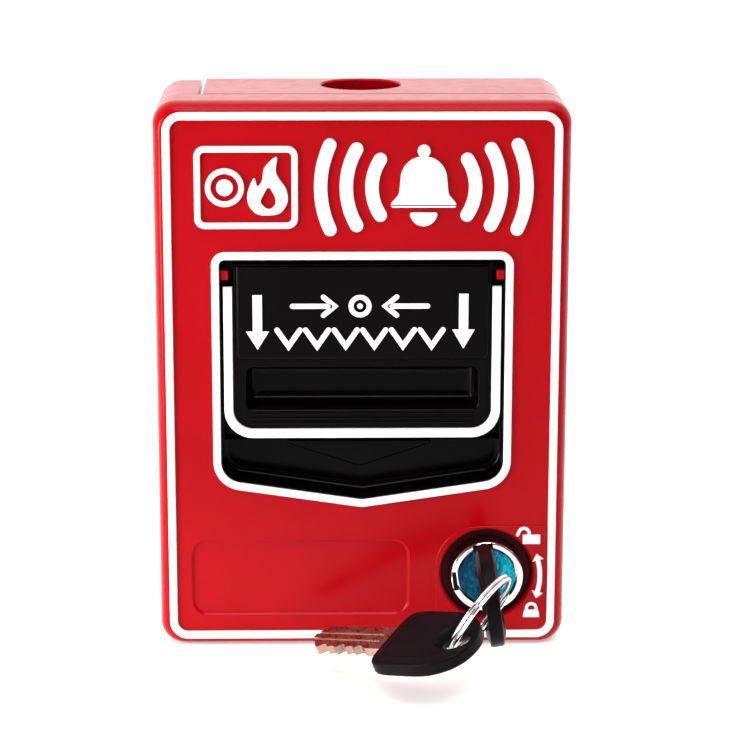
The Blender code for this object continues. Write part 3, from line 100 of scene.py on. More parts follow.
# Shell and its front edge
HALF_W, HALF_H = COVER_HIGH.x, COVER_HIGH.z
TOP_Y = COVER_LOW.y  # front of the raised lines
RIB_PROUD = 0.7
FACE_Y = TOP_Y + RIB_PROUD
COVER_T = 2.4
INNER_Y = FACE_Y + COVER_T
COVER_RIM_Y = BOX_LOW.y - 0.5
COVER_REAR_Y = -2.6
BOX_LEFT = -34.0  # left wall of the back box, inside the cover's hinge side
CORNER_R = 5.0
EDGE_IN, EDGE_DEEP = 2.1, 4.3  # the cover's rounded front edge
SPLIT_EDGE_X = BOX_LEFT - 0.9
FAR = 100.0  # past any part of the object, for cutting blocks

# Back box: wall, conduit entry, cable entry and fixing slots
WALL_T = 2.2
CONDUIT_Y, CONDUIT_R, CONDUIT_LIP = -9.6, 8.7, 0.35
BACK_MID_X = 5.0
CABLE_Z, CABLE_R = -21.0, 10.0
SLOT_Z, SLOT_HW, SLOT_HH, SLOT_R = 41.65, 4.5, 2.2, 2.15

# Hinge ears on the box, and bosses on the cover
EAR_Z, EAR_HH, EAR_R, EAR_L = 50.0, 3.0, 1.8, 6.1
PIN_BORE_R = 1.35
BOSS_Z, BOSS_R = 53.4, 3.0

# Standoffs inside the cover
STANDOFFS = [(x, z) for x in (18.0, -18.0) for z in (33.0, -34.0)]
STANDOFF_R, STANDOFF_END_Y, PILOT_R = 3.0, -19.9, 1.1

# Raised lines, lock pad and label recess
RIB_W = 1.65
BORDER_HW, BORDER_HH, BORDER_R = 42.0, 58.05, 4.0
WIN_HW, WIN_TOP, WIN_APEX, WIN_RISE = 30.4, 26.6, -26.4, 4.5
WIN_CORNER_R, WIN_TOP_R, WIN_APEX_R = 4.7, 1.2, 1.5
PAD_LEFT, PAD_RIGHT, PAD_TOP, PAD_BOTTOM, PAD_R = 15.9, 40.3, -32.6, -56.4, 9.2
LABEL_LEFT, LABEL_RIGHT, LABEL_TOP, LABEL_BOTTOM, LABEL_R = -37.0, 10.2, -35.7, -52.8, 3.5
PEG_LOW, PEG_TOP = 22.1, 24.1  # guide pegs at the window's upper corners

# Lock
RECESS_R, RECESS_Y = 10.0, -33.8
BARREL_R, BARREL_END_Y = 6.2, -16.5
BEZEL_R, BEZEL_FRONT, FACE_R = 7.9, -39.4, 6.3
LOCK_CLOCK = radians(8)  # the key's lean from upright
PAINT_SINK = 0.35  # how far a raised symbol is set into the face below it


# ---- outlines, in millimetres

def arc(centre, radius, start, end, steps=12):
    """Points on a circle from one angle to another, in degrees."""
    cx, cz = centre
    angles = [radians(start + (end - start) * k / steps) for k in range(steps + 1)]
    return [(cx + radius * cos(a), cz + radius * sin(a)) for a in angles]


def circle(centre, radius, steps=48):
    """A whole round outline."""
    return arc(centre, radius, 0, 360, steps)[:-1]


def fillet(points, radii, steps=10):
    """The closed outline through points, each corner rounded by its radius."""
    out = []
    count = len(points)
    for i, radius in enumerate(radii):
        here, before, after = (Vector(points[j % count]) for j in (i, i - 1, i + 1))
        if not radius:
            out.append(tuple(here))
            continue
        a, b = (before - here).normalized(), (after - here).normalized()
        half = a.angle(b) / 2
        centre = here + (a + b).normalized() * radius / sin(half)
        start, end = here + a * radius / tan(half), here + b * radius / tan(half)
        first = atan2(*(start - centre).yx)
        sweep = (atan2(*(end - centre).yx) - first + pi) % (2 * pi) - pi
        for k in range(steps + 1):
            angle = first + sweep * k / steps
            out.append((centre.x + radius * cos(angle), centre.y + radius * sin(angle)))
    return out


def rectangle(left, right, bottom, top, radius=0.0, steps=10):
    """A rectangle between its sides, with rounded corners."""
    return fillet([(right, top), (left, top), (left, bottom), (right, bottom)], [radius] * 4, steps)


def round_rect(half_w, half_h, radius, steps=12):
    """A rounded rectangle about the middle of the face."""
    return rectangle(-half_w, half_w, -half_h, half_h, radius, steps)


def area(outline):
    """The signed area, positive when the outline runs anticlockwise."""
    return sum(x0 * y1 - x1 * y0 for (x0, y0), (x1, y1) in zip(outline, outline[1:] + outline[:1])) / 2


def turned(outline, positive=True):
    """The outline, running anticlockwise, or clockwise for a hole."""
    return outline if (area(outline) > 0) == positive else outline[::-1]


def offset(outline, distance):
    """Every side moved to its left by distance, with mitred corners."""
    out = []
    count = len(outline)
    for i in range(count):
        before, here, after = (Vector(outline[j % count]) for j in (i - 1, i, i + 1))
        a, b = (here - before).normalized(), (after - here).normalized()
        left_a, left_b = Vector((-a.y, a.x)), Vector((-b.y, b.x))
        mitre = left_a + left_b
        length = max(mitre.length_squared, 0.5)
        out.append(tuple(here + mitre * (2 * distance / length)))
    return out


def stroke(points, width, end_steps=8, square=False):
    """The outline of a pen line of that width along points, with round or square ends."""
    half = width / 2
    count = len(points)
    sides = []
    for i in range(count):
        before, here, after = (Vector(points[min(max(j, 0), count - 1)]) for j in (i - 1, i, i + 1))
        a = (here - before).normalized() if i else (after - here).normalized()
        b = (after - here).normalized() if i < count - 1 else a
        mitre = Vector((-a.y - b.y, a.x + b.x))
        sides.append((here, mitre * (2 * half / max(mitre.length_squared, 0.5))))
    right = [tuple(here - side) for here, side in sides]
    left = [tuple(here + side) for here, side in reversed(sides)]
    if square:
        return turned(right + left)
    ends = []
    for at, beside in ((points[-1], points[-2]), (points[0], points[1])):
        heading = atan2(at[1] - beside[1], at[0] - beside[0])
        ends.append([(at[0] + half * cos(heading + a), at[1] + half * sin(heading + a))
                     for a in (pi * (k / end_steps - 0.5) for k in range(1, end_steps))])
    return turned(right + ends[0] + left + ends[1])


def window_outline(grow=0.0):
    """Straight sides and top, and a shallow V below, grown outwards by grow."""
    slope = WIN_RISE / WIN_HW
    half, top = WIN_HW + grow, WIN_TOP + grow
    apex = WIN_APEX - grow * sqrt(1 + slope * slope)
    side = apex + slope * half
    radii = [max(0.1, r + grow) for r in (WIN_TOP_R, WIN_TOP_R, WIN_CORNER_R, WIN_APEX_R, WIN_CORNER_R)]
    return fillet([(half, top), (-half, top), (-half, side), (0, apex), (half, side)], radii, 12)


OUTSIDE = round_rect(HALF_W, HALF_H, CORNER_R)  # the whole object from the front


# ---- solids

PIECES = bpy.data.collections.new("manual_call_point")
TOOLS = bpy.data.collections.new("shaping")
for made in (PIECES, TOOLS):
    bpy.context.scene.collection.children.link(made)


def solid(name, form):
    """A mesh in millimetres as an object in metres, kept with the shaping tools until it is shown."""
    bmesh.ops.remove_doubles(form, verts=form.verts, dist=1e-4)
    bmesh.ops.recalc_face_normals(form, faces=form.faces)
    bmesh.ops.scale(form, vec=(MM, MM, MM), verts=form.verts)
    mesh = bpy.data.meshes.new(name)
    form.to_mesh(mesh)
    form.free()
    shape = bpy.data.objects.new(name, mesh)
    TOOLS.objects.link(shape)
    return shape


def skin(form, loops):
    """Faces between each pair of neighbouring loops."""
    for near, far in zip(loops, loops[1:]):
        for i in range(len(near)):
            form.faces.new((near[i - 1], near[i], far[i], far[i - 1]))


def cap(form, loops):
    """Fills a flat face bounded by one loop, or by an outer loop and its holes."""
    if len(loops) == 1:
        form.faces.new(loops[0])
        return
    edges = [form.edges.get((loop[i - 1], loop[i])) for loop in loops for i in range(len(loop))]
    bmesh.ops.triangle_fill(form, use_beauty=True, use_dissolve=False, edges=edges)


def along_y(x, y, z):
    """A drawing seen from the front, with its depth along Y."""
    return x, y, z


def along_z(x, y, z):
    """A drawing seen from above, with its depth along Z."""
    return x, z, y


def prism(name, outlines, front, rear, edge=0.0, steps=3, rear_edge=0.0, place=along_y):
    """A solid on flat outlines (the first one outside, then holes) from front to rear, with rounded rims.
    place maps a drawing point (across, depth, up) into space."""
    form = bmesh.new()
    quarter = [radians(90 * k / steps) for k in range(steps + 1)]
    stations = [(front, 0)]
    if edge:
        stations = [(front + edge * (1 - sin(a)), edge * (1 - cos(a))) for a in reversed(quarter)]
    if rear_edge:
        stations += [(rear - rear_edge * (1 - sin(a)), rear_edge * (1 - cos(a))) for a in quarter]
    else:
        stations.append((rear, 0))
    fronts, rears = [], []
    for number, outline in enumerate(outlines):
        outline = turned(list(outline), number == 0)
        loops = [[form.verts.new(place(x, y, z)) for x, z in offset(outline, inset)] for y, inset in stations]
        skin(form, loops)
        fronts.append(loops[0])
        rears.append(loops[-1])
    cap(form, fronts)
    cap(form, rears)
    return solid(name, form)


def loft(name, rings, place=along_y):
    """A solid skinned over outlines, one for each (depth, outline)."""
    form = bmesh.new()
    loops = [[form.verts.new(place(x, y, z)) for x, z in outline] for y, outline in rings]
    skin(form, loops)
    cap(form, loops[:1])
    cap(form, loops[-1:])
    return solid(name, form)


def bar(name, low, high):
    """A plain block between two corners."""
    (x0, y0, z0), (x1, y1, z1) = low, high
    return prism(name, [rectangle(x0, x1, z0, z1)], y0, y1)


def disc(name, x, z, front, rear, radius, edge=0.0, steps=48):
    """A round bar along Y."""
    return prism(name, [circle((x, z), radius, steps)], front, rear, edge)


def post(name, x, y, low, high, radius, edge=0.0, steps=32):
    """A round bar along Z."""
    return prism(name, [circle((x, y), radius, steps)], low, high, edge, place=along_z)


def lathe(name, profile, centre, steps=72):
    """A closed ring turned about Y through centre, from a closed profile of (radius, depth)."""
    form = bmesh.new()
    cx, cz = centre
    loops = [[form.verts.new((cx + r * cos(a), y, cz + r * sin(a))) for r, y in profile]
             for a in (2 * pi * k / steps for k in range(steps))]
    skin(form, loops + loops[:1])
    return solid(name, form)


def combine(target, others, operation):
    """Cuts, joins or intersects target with each of the others, which are used up."""
    for other in others:
        step = target.modifiers.new("shape", "BOOLEAN")
        step.operation = operation
        step.solver = "MANIFOLD"
        step.object = other
        bpy.context.view_layer.update()
        result = target.evaluated_get(bpy.context.evaluated_depsgraph_get())
        mesh = bpy.data.meshes.new_from_object(result)
        target.modifiers.clear()
        old, target.data = target.data, mesh
        bpy.data.meshes.remove(old)
        bpy.data.objects.remove(other)
    return target


def cut(target, *others):
    return combine(target, others, "DIFFERENCE")


def join(target, *others):
    return combine(target, others, "UNION")


def keep(target, other):
    return combine(target, [other], "INTERSECT")


def shown(shape, material, body, replaces=(), sharp=40, weld=True):
    """A finished piece: shaded, painted, riding on its body."""
    form = bmesh.new()
    form.from_mesh(shape.data)
    if weld:
        bmesh.ops.remove_doubles(form, verts=form.verts, dist=2e-6)
        bmesh.ops.dissolve_degenerate(form, edges=form.edges, dist=1e-6)
    form.to_mesh(shape.data)
    form.free()
    TOOLS.objects.unlink(shape)
    PIECES.objects.link(shape)
    shape.data.materials.clear()
    shape.data.materials.append(material)
    shape.data.shade_smooth()
    shape.data.set_sharp_from_angle(angle=radians(sharp))
    even = shape.modifiers.new("even_normals", "WEIGHTED_NORMAL")
    even.keep_sharp = True
    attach(shape, body)
    if replaces:
        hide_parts(*replaces)
    return shape


# ---- materials

class Paint:
    """A procedural material under construction: one shader, fed by textures in object space."""

    def __init__(self, name, colour, roughness, metallic=0.0, **settings):
        self.made = bpy.data.materials.new(name)
        self.made.use_nodes = True
        self.tree = self.made.node_tree
        self.shader = self.tree.nodes["Principled BSDF"]
        self.shader.inputs["Base Color"].default_value = (*colour, 1)
        self.shader.inputs["Roughness"].default_value = roughness
        self.shader.inputs["Metallic"].default_value = metallic
        for socket, value in settings.items():
            self.shader.inputs[socket.replace("_", " ")].default_value = value
        self.where = self.node("ShaderNodeTexCoord").outputs["Object"]
        self.normal = None

    def node(self, kind, **inputs):
        made = self.tree.nodes.new(kind)
        for socket, value in inputs.items():
            self.feed(made.inputs[socket.replace("_", " ")], value)
        return made

    def feed(self, socket, value):
        if isinstance(value, bpy.types.NodeSocket):
            self.tree.links.new(value, socket)
        else:
            socket.default_value = value

    def noise(self, size, stretch=(1, 1, 1), detail=4.0, rough=0.55, distortion=0.0):
        """Noise whose features are about size millimetres, drawn out along an axis by stretch."""
        scale = tuple(1 / (s * size * MM) for s in stretch)
        place = self.node("ShaderNodeMapping", Vector=self.where, Scale=scale)
        found = self.node("ShaderNodeTexNoise", Vector=place.outputs["Vector"], Scale=1.0, Detail=detail,
                          Roughness=rough, Distortion=distortion)
        return found.outputs["Fac"]

    def spread(self, value, low, high, start=0.3, end=0.7):
        """A texture's middle range mapped onto low to high."""
        found = self.node("ShaderNodeMapRange", Value=value)
        for socket, number in (("From Min", start), ("From Max", end), ("To Min", low), ("To Max", high)):
            found.inputs[socket].default_value = number
        return found.outputs["Result"]

    def colours(self, value, *stops):
        """A ramp of (position, colour) stops."""
        ramp = self.node("ShaderNodeValToRGB", Fac=value)
        points = ramp.color_ramp.elements
        while len(points) < len(stops):
            points.new(0.5)
        for point, (position, colour) in zip(points, stops):
            point.position = position
            point.color = (*colour, 1)
        return ramp.outputs["Color"]

    def base(self, colour):
        self.feed(self.shader.inputs["Base Color"], colour)
        return self

    def roughness(self, value):
        self.feed(self.shader.inputs["Roughness"], value)
        return self

    def bump(self, height, depth_mm, strength=1.0):
        """Adds relief of that depth to the surface."""
        made = self.node("ShaderNodeBump", Height=height, Strength=strength, Distance=depth_mm * MM)
        if self.normal:
            self.feed(made.inputs["Normal"], self.normal)
        self.normal = made.outputs["Normal"]
        self.feed(self.shader.inputs["Normal"], self.normal)
        return self


def tint(colour, factor):
    """The colour made lighter or darker by a factor."""
    return tuple(min(1.0, c * factor) for c in colour)


def moulded(name, colour, roughness, grain, relief, coat=0.0, shift=0.06, **settings):
    """Moulded plastic: slow colour drift, faint flow marks, fine surface grain and handling scuffs."""
    paint = Paint(name, colour, roughness, Coat_Weight=coat, Coat_Roughness=0.06, **settings)
    drift = paint.noise(22, detail=2)
    paint.base(paint.colours(drift, (0.3, tint(colour, 1 - shift)), (0.7, tint(colour, 1 + shift))))
    scuffs = paint.noise(3.5, stretch=(1, 1, 5), detail=8, rough=0.7, distortion=0.4)
    paint.roughness(paint.spread(scuffs, roughness * 0.82, roughness * 1.25))
    paint.bump(paint.noise(grain, detail=3), relief)
    return paint.bump(paint.noise(9, detail=1), relief * 2).made


def plated(name, colour, roughness, stretch=(1, 1, 1), relief=0.004, shift=0.08):
    """Plated or worked metal: uneven polish, fine directional marks and a little tarnish."""
    paint = Paint(name, colour, roughness, 1.0)
    drift = paint.noise(5, detail=5)
    paint.base(paint.colours(drift, (0.3, tint(colour, 1 - shift)), (0.7, tint(colour, 1 + shift * 0.4))))
    marks = paint.noise(0.35, stretch=stretch, detail=6, rough=0.65)
    paint.roughness(paint.spread(marks, roughness * 0.6, roughness * 1.6))
    return paint.bump(marks, relief).made


def white_paint():
    """Hot-stamped white: not quite even, slightly eggshell."""
    paint = Paint("white_paint", (0.84, 0.83, 0.83), 0.38, Specular_IOR_Level=0.3)
    drift = paint.noise(2.2, detail=6, rough=0.7)
    paint.base(paint.colours(drift, (0.25, (0.74, 0.71, 0.71)), (0.5, (0.84, 0.83, 0.83)),
                             (0.8, (0.89, 0.89, 0.89))))
    paint.roughness(paint.spread(drift, 0.5, 0.3))
    return paint.bump(paint.noise(0.25, detail=3), 0.006).made


CREASES_PER_METRE = 620
PAINTED_LIGHT_SHARE = 0.42  # share of the teal's colour that is painted light, brighter to the right, rather than following the flake noise


def teal_foil():
    """Crumpled metallic teal lacquer; its colour carries painted glints from the flake noise, painted light to
    the right and painted shade to the left.
    """
    paint = Paint("teal_foil", (0.02, 0.30, 0.40), 0.25, 0.85)
    creases = paint.node("ShaderNodeTexVoronoi", Vector=paint.node(
        "ShaderNodeMapping", Vector=paint.where, Scale=[CREASES_PER_METRE] * 3).outputs["Vector"], Scale=1.0)
    creases.feature = "SMOOTH_F1"
    flakes_and_glints = paint.noise(1.1, stretch=(1, 1, 2.2), detail=7, rough=0.72, distortion=1.6)
    split = paint.node("ShaderNodeSeparateXYZ", Vector=paint.where)
    # Painted light: the colour brightens from the left of the lock face to the right.
    across = paint.spread(split.outputs["X"], 0.0, 1.0, (LOCK_X - FACE_R) * MM, (LOCK_X + FACE_R) * MM)
    painted_light_blend = paint.node("ShaderNodeMath")
    painted_light_blend.operation = "MULTIPLY_ADD"
    paint.feed(painted_light_blend.inputs[0], across)
    painted_light_blend.inputs[1].default_value = PAINTED_LIGHT_SHARE
    paint.feed(painted_light_blend.inputs[2], paint.spread(flakes_and_glints, 0.0, 0.62, 0.28, 0.72))
    # The ramp runs from painted shade, nearly black, to painted glints of bright cyan.
    paint.base(paint.colours(painted_light_blend.outputs[0], (0.14, (0.001, 0.008, 0.03)), (0.44, (0.002, 0.06, 0.12)),
                             (0.66, (0.002, 0.23, 0.33)), (0.90, (0.012, 0.58, 0.66))))
    paint.roughness(paint.spread(flakes_and_glints, 0.18, 0.42))
    paint.bump(creases.outputs["Distance"], 0.10)
    return paint.bump(flakes_and_glints, 0.05).made


TRACKS_PER_METRE = 260


def board_green():
    """Solder mask with tracks showing through it."""
    paint = Paint("board_green", (0.02, 0.20, 0.08), 0.35, Coat_Weight=0.5)
    place = paint.node("ShaderNodeMapping", Vector=paint.where, Rotation=(pi / 2, 0, 0),
                       Scale=[TRACKS_PER_METRE] * 3)
    tracks = paint.node("ShaderNodeTexBrick", Vector=place.outputs["Vector"], Color1=(0.02, 0.20, 0.08, 1),
                        Color2=(0.015, 0.16, 0.06, 1), Mortar=(0.05, 0.36, 0.15, 1), Scale=1.0)
    tracks.inputs["Mortar Size"].default_value = 0.05
    paint.base(tracks.outputs["Color"])
    return paint.bump(tracks.outputs["Fac"], 0.03).made


RED = moulded("red_abs", (0.32, 0.0005, 0.0034), 0.20, 0.30, 0.0025, Specular_IOR_Level=0.09)
# A very dark red that paints shade into the lock recess.
RECESS_SHADE = moulded("painted_recess_shade", (0.035, 0.0012, 0.0022), 0.55, 0.25, 0.006, Specular_IOR_Level=0.1)
BLACK = moulded("black_abs", (0.0012, 0.0007, 0.0009), 0.17, 0.35, 0.003, shift=0.15,
                Specular_IOR_Level=0.06)
KEY_BLACK = moulded("key_plastic", (0.005, 0.003, 0.004), 0.34, 0.16, 0.006, shift=0.15,
                    Specular_IOR_Level=0.04)
GREY = moulded("grey_plastic", (0.26, 0.27, 0.28), 0.5, 0.2, 0.005)
WIRE_RED = moulded("wire_red", (0.42, 0.012, 0.012), 0.4, 0.2, 0.004)
WIRE_BLACK = moulded("wire_black", (0.02, 0.02, 0.02), 0.4, 0.2, 0.004)
WHITE = white_paint()
CHROME = plated("chrome", (0.86, 0.85, 0.85), 0.10, stretch=(1, 1, 6), relief=0.001)
STEEL = plated("steel", (0.50, 0.50, 0.51), 0.34, stretch=(1, 8, 1), relief=0.003)
BRASS = plated("brass", (0.40, 0.25, 0.20), 0.28, stretch=(6, 6, 1), relief=0.0012, shift=0.2)
TEAL = teal_foil()
BOARD = board_green()

SLOT_PAINT = {
    "red_abs": RED, "black_abs": BLACK, "grey_plastic": GREY, "key_plastic": KEY_BLACK, "chrome": CHROME,
    "steel": STEEL, "brass": BRASS, "teal_foil": TEAL, "circuit_board": BOARD, "wire_red": WIRE_RED,
    "wire_black": WIRE_BLACK,
}
for entry in frame["record"]["subparts"]:
    cad = frame["nodes"][entry["node"]]
    cad.data.materials.clear()
    cad.data.materials.append(SLOT_PAINT[entry["material_slot"]])


# ---- back box

def make_housing():
    """The back box with rounded rear edges, its entries, fixing slots and hinge ears."""
    rim = BOX_LOW.y
    shell = prism("rear_housing_shell", [OUTSIDE], rim, 0.0, 0.15, 1, rear_edge=0.35)
    keep(shell, bar("right_part", (BOX_LEFT, -FAR, -FAR), (FAR, FAR, FAR)))
    left, right, top = BOX_LEFT + WALL_T, HALF_W - WALL_T, HALF_H - WALL_T
    inside = fillet([(right, top), (left, top), (left, -top), (right, -top)], [3, 1, 1, 3])
    cut(shell, prism("hollow", [inside], rim - 1, -WALL_T, rear_edge=0.4))
    middle = (0, CONDUIT_Y)
    cut(shell, post("conduit", *middle, HALF_H - 4, HALF_H + 1, CONDUIT_R, steps=64))
    lip = [(HALF_H - CONDUIT_LIP, CONDUIT_R - 0.01), (HALF_H + 0.1, CONDUIT_R + CONDUIT_LIP + 0.1)]
    cut(shell, loft("conduit_lip", [(z, circle(middle, radius, 64)) for z, radius in lip], along_z))
    cut(shell, disc("rear_entry", BACK_MID_X, CABLE_Z, -4, 1, CABLE_R, steps=64))
    for z in (SLOT_Z, -SLOT_Z):
        slot = rectangle(BACK_MID_X - SLOT_HW, BACK_MID_X + SLOT_HW, z - SLOT_HH, z + SLOT_HH, SLOT_R)
        cut(shell, prism("wall_slot", [slot], -4, 1))
    near, far = HINGE_X + EAR_L, HINGE_X - EAR_R
    ear = fillet([(near, HINGE_Y + EAR_R), (far, HINGE_Y + EAR_R), (far, HINGE_Y - EAR_R),
                  (near, HINGE_Y - EAR_R)], [0, EAR_R - 0.1, EAR_R - 0.1, 0])
    for z in (EAR_Z, -EAR_Z):
        join(shell, prism("hinge_ear", [ear], z - EAR_HH, z + EAR_HH, place=along_z))
        cut(shell, post("ear_bore", HINGE_X, HINGE_Y, z - 2 * EAR_HH, z + 2 * EAR_HH, PIN_BORE_R))
    return shown(shell, RED, "housing", ["rear_housing"])


make_housing()


# ---- front cover

def upright_span(end, inner, outer):
    """Low and high ends of a stretch from inner to outer, at the top (end 1) or the bottom (end -1)."""
    return sorted((end * inner, end * outer))


def make_cover_shell():
    """The cover's outside: rounded front edge, hinge side and lock pad."""
    rings = []
    steps = 12
    for k in range(steps + 1):
        turn = radians(90 * k / steps)
        inset = EDGE_IN * (1 - sin(turn))
        outline = round_rect(HALF_W - inset, HALF_H - inset, CORNER_R)
        rings.append((FACE_Y + EDGE_DEEP * (1 - cos(turn)), outline))
    rings.append((COVER_RIM_Y, OUTSIDE))
    shell = loft("front_cover_shell", rings)
    lap = COVER_RIM_Y - 1
    side = fillet([(SPLIT_EDGE_X, COVER_REAR_Y), (-HALF_W, COVER_REAR_Y), (-HALF_W, lap), (SPLIT_EDGE_X, lap)],
                  [1.2, 3.0, 0, 0])
    wrap = prism("hinge_side", [side], -HALF_H, HALF_H, place=along_z)
    keep(wrap, prism("wrap_limit", [OUTSIDE], -50, 1))
    join(shell, wrap)
    pad = fillet([(PAD_RIGHT, PAD_TOP), (PAD_LEFT, PAD_TOP), (PAD_LEFT, PAD_BOTTOM), (PAD_RIGHT, PAD_BOTTOM)],
                 [0.4, PAD_R, 0.4, 0.4])
    return join(shell, prism("lock_pad", [pad], FACE_Y - 0.4, FACE_Y + 0.4, 0.3, 4))


def make_cover():
    """The moulded cover: its shell with the window, recesses, pegs, standoffs and hinge bosses."""
    shell = make_cover_shell()
    inner = round_rect(HALF_W - COVER_T, HALF_H - COVER_T, 3)
    cut(shell, prism("cover_hollow", [inner], INNER_Y, 2, 0.5))
    join(shell, disc("lock_boss", LOCK_X, LOCK_Z, INNER_Y - 1, RECESS_Y + COVER_T, RECESS_R + 1.4))
    join(shell, *[disc("standoff", x, z, INNER_Y - 0.6, STANDOFF_END_Y, STANDOFF_R, steps=24)
                  for x, z in STANDOFFS])
    for end in (1, -1):
        join(shell, post("hinge_boss", HINGE_X, HINGE_Y, *upright_span(end, BOSS_Z, HALF_H - 2.0), BOSS_R))
    label = turned(rectangle(LABEL_LEFT, LABEL_RIGHT, LABEL_BOTTOM, LABEL_TOP, LABEL_R))
    label_steps = [(-0.3, -0.35), (-0.02, -0.3), (0.15, 0), (0.5, 0.25), (0.6, 0.6)]
    mouth, top = RECESS_R + 0.7, FACE_Y - 0.6
    lock_steps = [(-50, mouth), (top, mouth), (FACE_Y - 0.2, RECESS_R + 0.25), (FACE_Y + 0.3, RECESS_R),
                  (RECESS_Y - 0.4, RECESS_R - 0.1), (RECESS_Y, RECESS_R - 0.5)]
    cut(
        shell,
        prism("window", [window_outline()], -50, -30),
        loft("label_recess", [(FACE_Y + deep, offset(label, inset)) for deep, inset in label_steps]),
        loft("lock_recess", [(y, circle((LOCK_X, LOCK_Z), radius, 72)) for y, radius in lock_steps]),
        disc("barrel_hole", LOCK_X, LOCK_Z, -50, -20, BARREL_R + 0.2),
    )
    for side in (1, -1):
        low, high = sorted((side * (WIN_HW + 0.3), side * (WIN_HW - 1.9)))
        peg = rectangle(low, high, PEG_LOW, PEG_TOP, 0.2, 3)
        join(shell, prism("guide_peg", [peg], FACE_Y + 0.2, INNER_Y - 0.2, 0.2))
    cut(shell, *[disc("pilot", x, z, -30, -19, PILOT_R, steps=20) for x, z in STANDOFFS])
    for end in (1, -1):
        cut(shell, post("pin_bore", HINGE_X, HINGE_Y, *upright_span(end, EAR_Z, HALF_H - 2.8), PIN_BORE_R))
    return shown(shell, RED, "cover", ["front_cover"])


make_cover()


def painted(name, outlines, body="cover", front=TOP_Y, rear=FACE_Y + PAINT_SINK, edge=0.22):
    """A raised white line or symbol."""
    return shown(prism(name, outlines, front, rear, edge, 3), WHITE, body)


painted("border_line", [round_rect(BORDER_HW, BORDER_HH, BORDER_R),
                        round_rect(BORDER_HW - RIB_W, BORDER_HH - RIB_W, BORDER_R - RIB_W)])
painted("window_line", [window_outline(RIB_W), window_outline(0.02)])


# ---- symbols on the cover

PEN = 2.8
BELL = (12.9, 42.2)
DOME_R, DOME_RISE = 4.9, 1.6  # the dome's round top, and how far its centre is above the bell's
CROWN_R, CROWN_RISE = 1.35, 7.6
CLAPPER_R, CLAPPER_DROP = 2.9, 5.5


def make_bell():
    """An alarm bell: dome, lip, crown and clapper."""
    cx, cz = BELL
    edge = [((6.9, -4.4), 0.5), ((6.9, -3.6), 0.9), ((5.2, -1.6), 2.0), ((DOME_R, DOME_RISE), 0)]
    top = arc((cx, cz + DOME_RISE), DOME_R, 12, 168, 16)
    dome = [(cx + x, cz + z) for (x, z), _ in edge] + top + [(cx - x, cz + z) for (x, z), _ in reversed(edge)]
    radii = [radius for _, radius in edge]
    painted("bell_dome", [fillet(dome, radii + [0] * len(top) + radii[::-1], 5)])
    painted("bell_crown", [circle((cx, cz + CROWN_RISE), CROWN_R, 28)])
    clapper = arc((cx, cz - CLAPPER_DROP), CLAPPER_R, 180, 360, 18)
    painted("bell_clapper", [fillet(clapper, [0.4] + [0] * (len(clapper) - 2) + [0.4], 4)])


def make_waves():
    """Sound waves to both sides of the bell, drawn with the thick round pen."""
    cx, cz = BELL
    for side, facing in (("left", 180), ("right", 0)):
        for number, (radius, sweep) in enumerate(((10.9, 33), (16.3, 30), (21.7, 24.5)), 1):
            path = arc((cx, cz - 0.1), radius, facing - sweep, facing + sweep, 20)
            painted(f"wave_{side}_{number}", [stroke(path, PEN)])


make_bell()
make_waves()


def spline(points, steps=6, closed=True):
    """A smooth outline through points."""
    count = len(points)
    out = []
    for i in range(count if closed else count - 1):
        p0, p1, p2, p3 = (Vector(points[(i + k) % count]) for k in (-1, 0, 1, 2))
        for s in range(steps):
            t = s / steps
            out.append(tuple(0.5 * (2 * p1 + (p2 - p0) * t + (2 * p0 - 5 * p1 + 4 * p2 - p3) * t * t
                                    + (3 * p1 - p0 - 3 * p2 + p3) * t ** 3)))
    return out


FRAME_LEFT, FRAME_RIGHT, FRAME_BOTTOM, FRAME_TOP, FRAME_PEN = -35.4, -13.6, 33.3, 50.9, 1.3
FLAME_FOOT = (-19.9, 36.2)
BUTTON, BUTTON_R, BUTTON_RING_OUT, BUTTON_RING_IN = (-29.0, 42.1), 1.75, 4.1, 2.95


def make_flame_sign():
    """A flame and a push button in a square frame."""
    pen = FRAME_PEN
    painted("sign_frame", [
        rectangle(FRAME_LEFT, FRAME_RIGHT, FRAME_BOTTOM, FRAME_TOP, 2.2),
        rectangle(FRAME_LEFT + pen, FRAME_RIGHT - pen, FRAME_BOTTOM + pen, FRAME_TOP - pen, 1.0)])
    fx, fz = FLAME_FOOT
    flame = [(0, 0), (2.6, 0.5), (4.1, 2.8), (3.9, 5.4), (2.5, 7.6), (1.7, 9.4), (1.9, 12.4), (-0.6, 10.2),
             (-1.2, 7.4), (-2.2, 6.2), (-2.9, 7.9), (-4.2, 5.0), (-4.1, 2.4), (-2.5, 0.4)]
    core = [(0.1, 1.3), (1.5, 2.2), (1.5, 3.9), (0.2, 5.9), (-0.9, 4.4), (-1.5, 2.7)]
    painted("sign_flame", [spline([(fx + x, fz + z) for x, z in shape]) for shape in (flame, core)])
    painted("sign_button", [circle(BUTTON, BUTTON_R, 32)])
    painted("sign_button_ring", [circle(BUTTON, BUTTON_RING_OUT, 40), circle(BUTTON, BUTTON_RING_IN, 40)])


make_flame_sign()


SHACKLE_PEN = 0.65
TURN_CENTRE, TURN_R, TURN_REACH, TURN_PEN = (25.0, -43.95), 13.75, 15.2, 1.05
TURN_HEAD_HW, TURN_HEAD_DEGREES = 1.25, 6.2


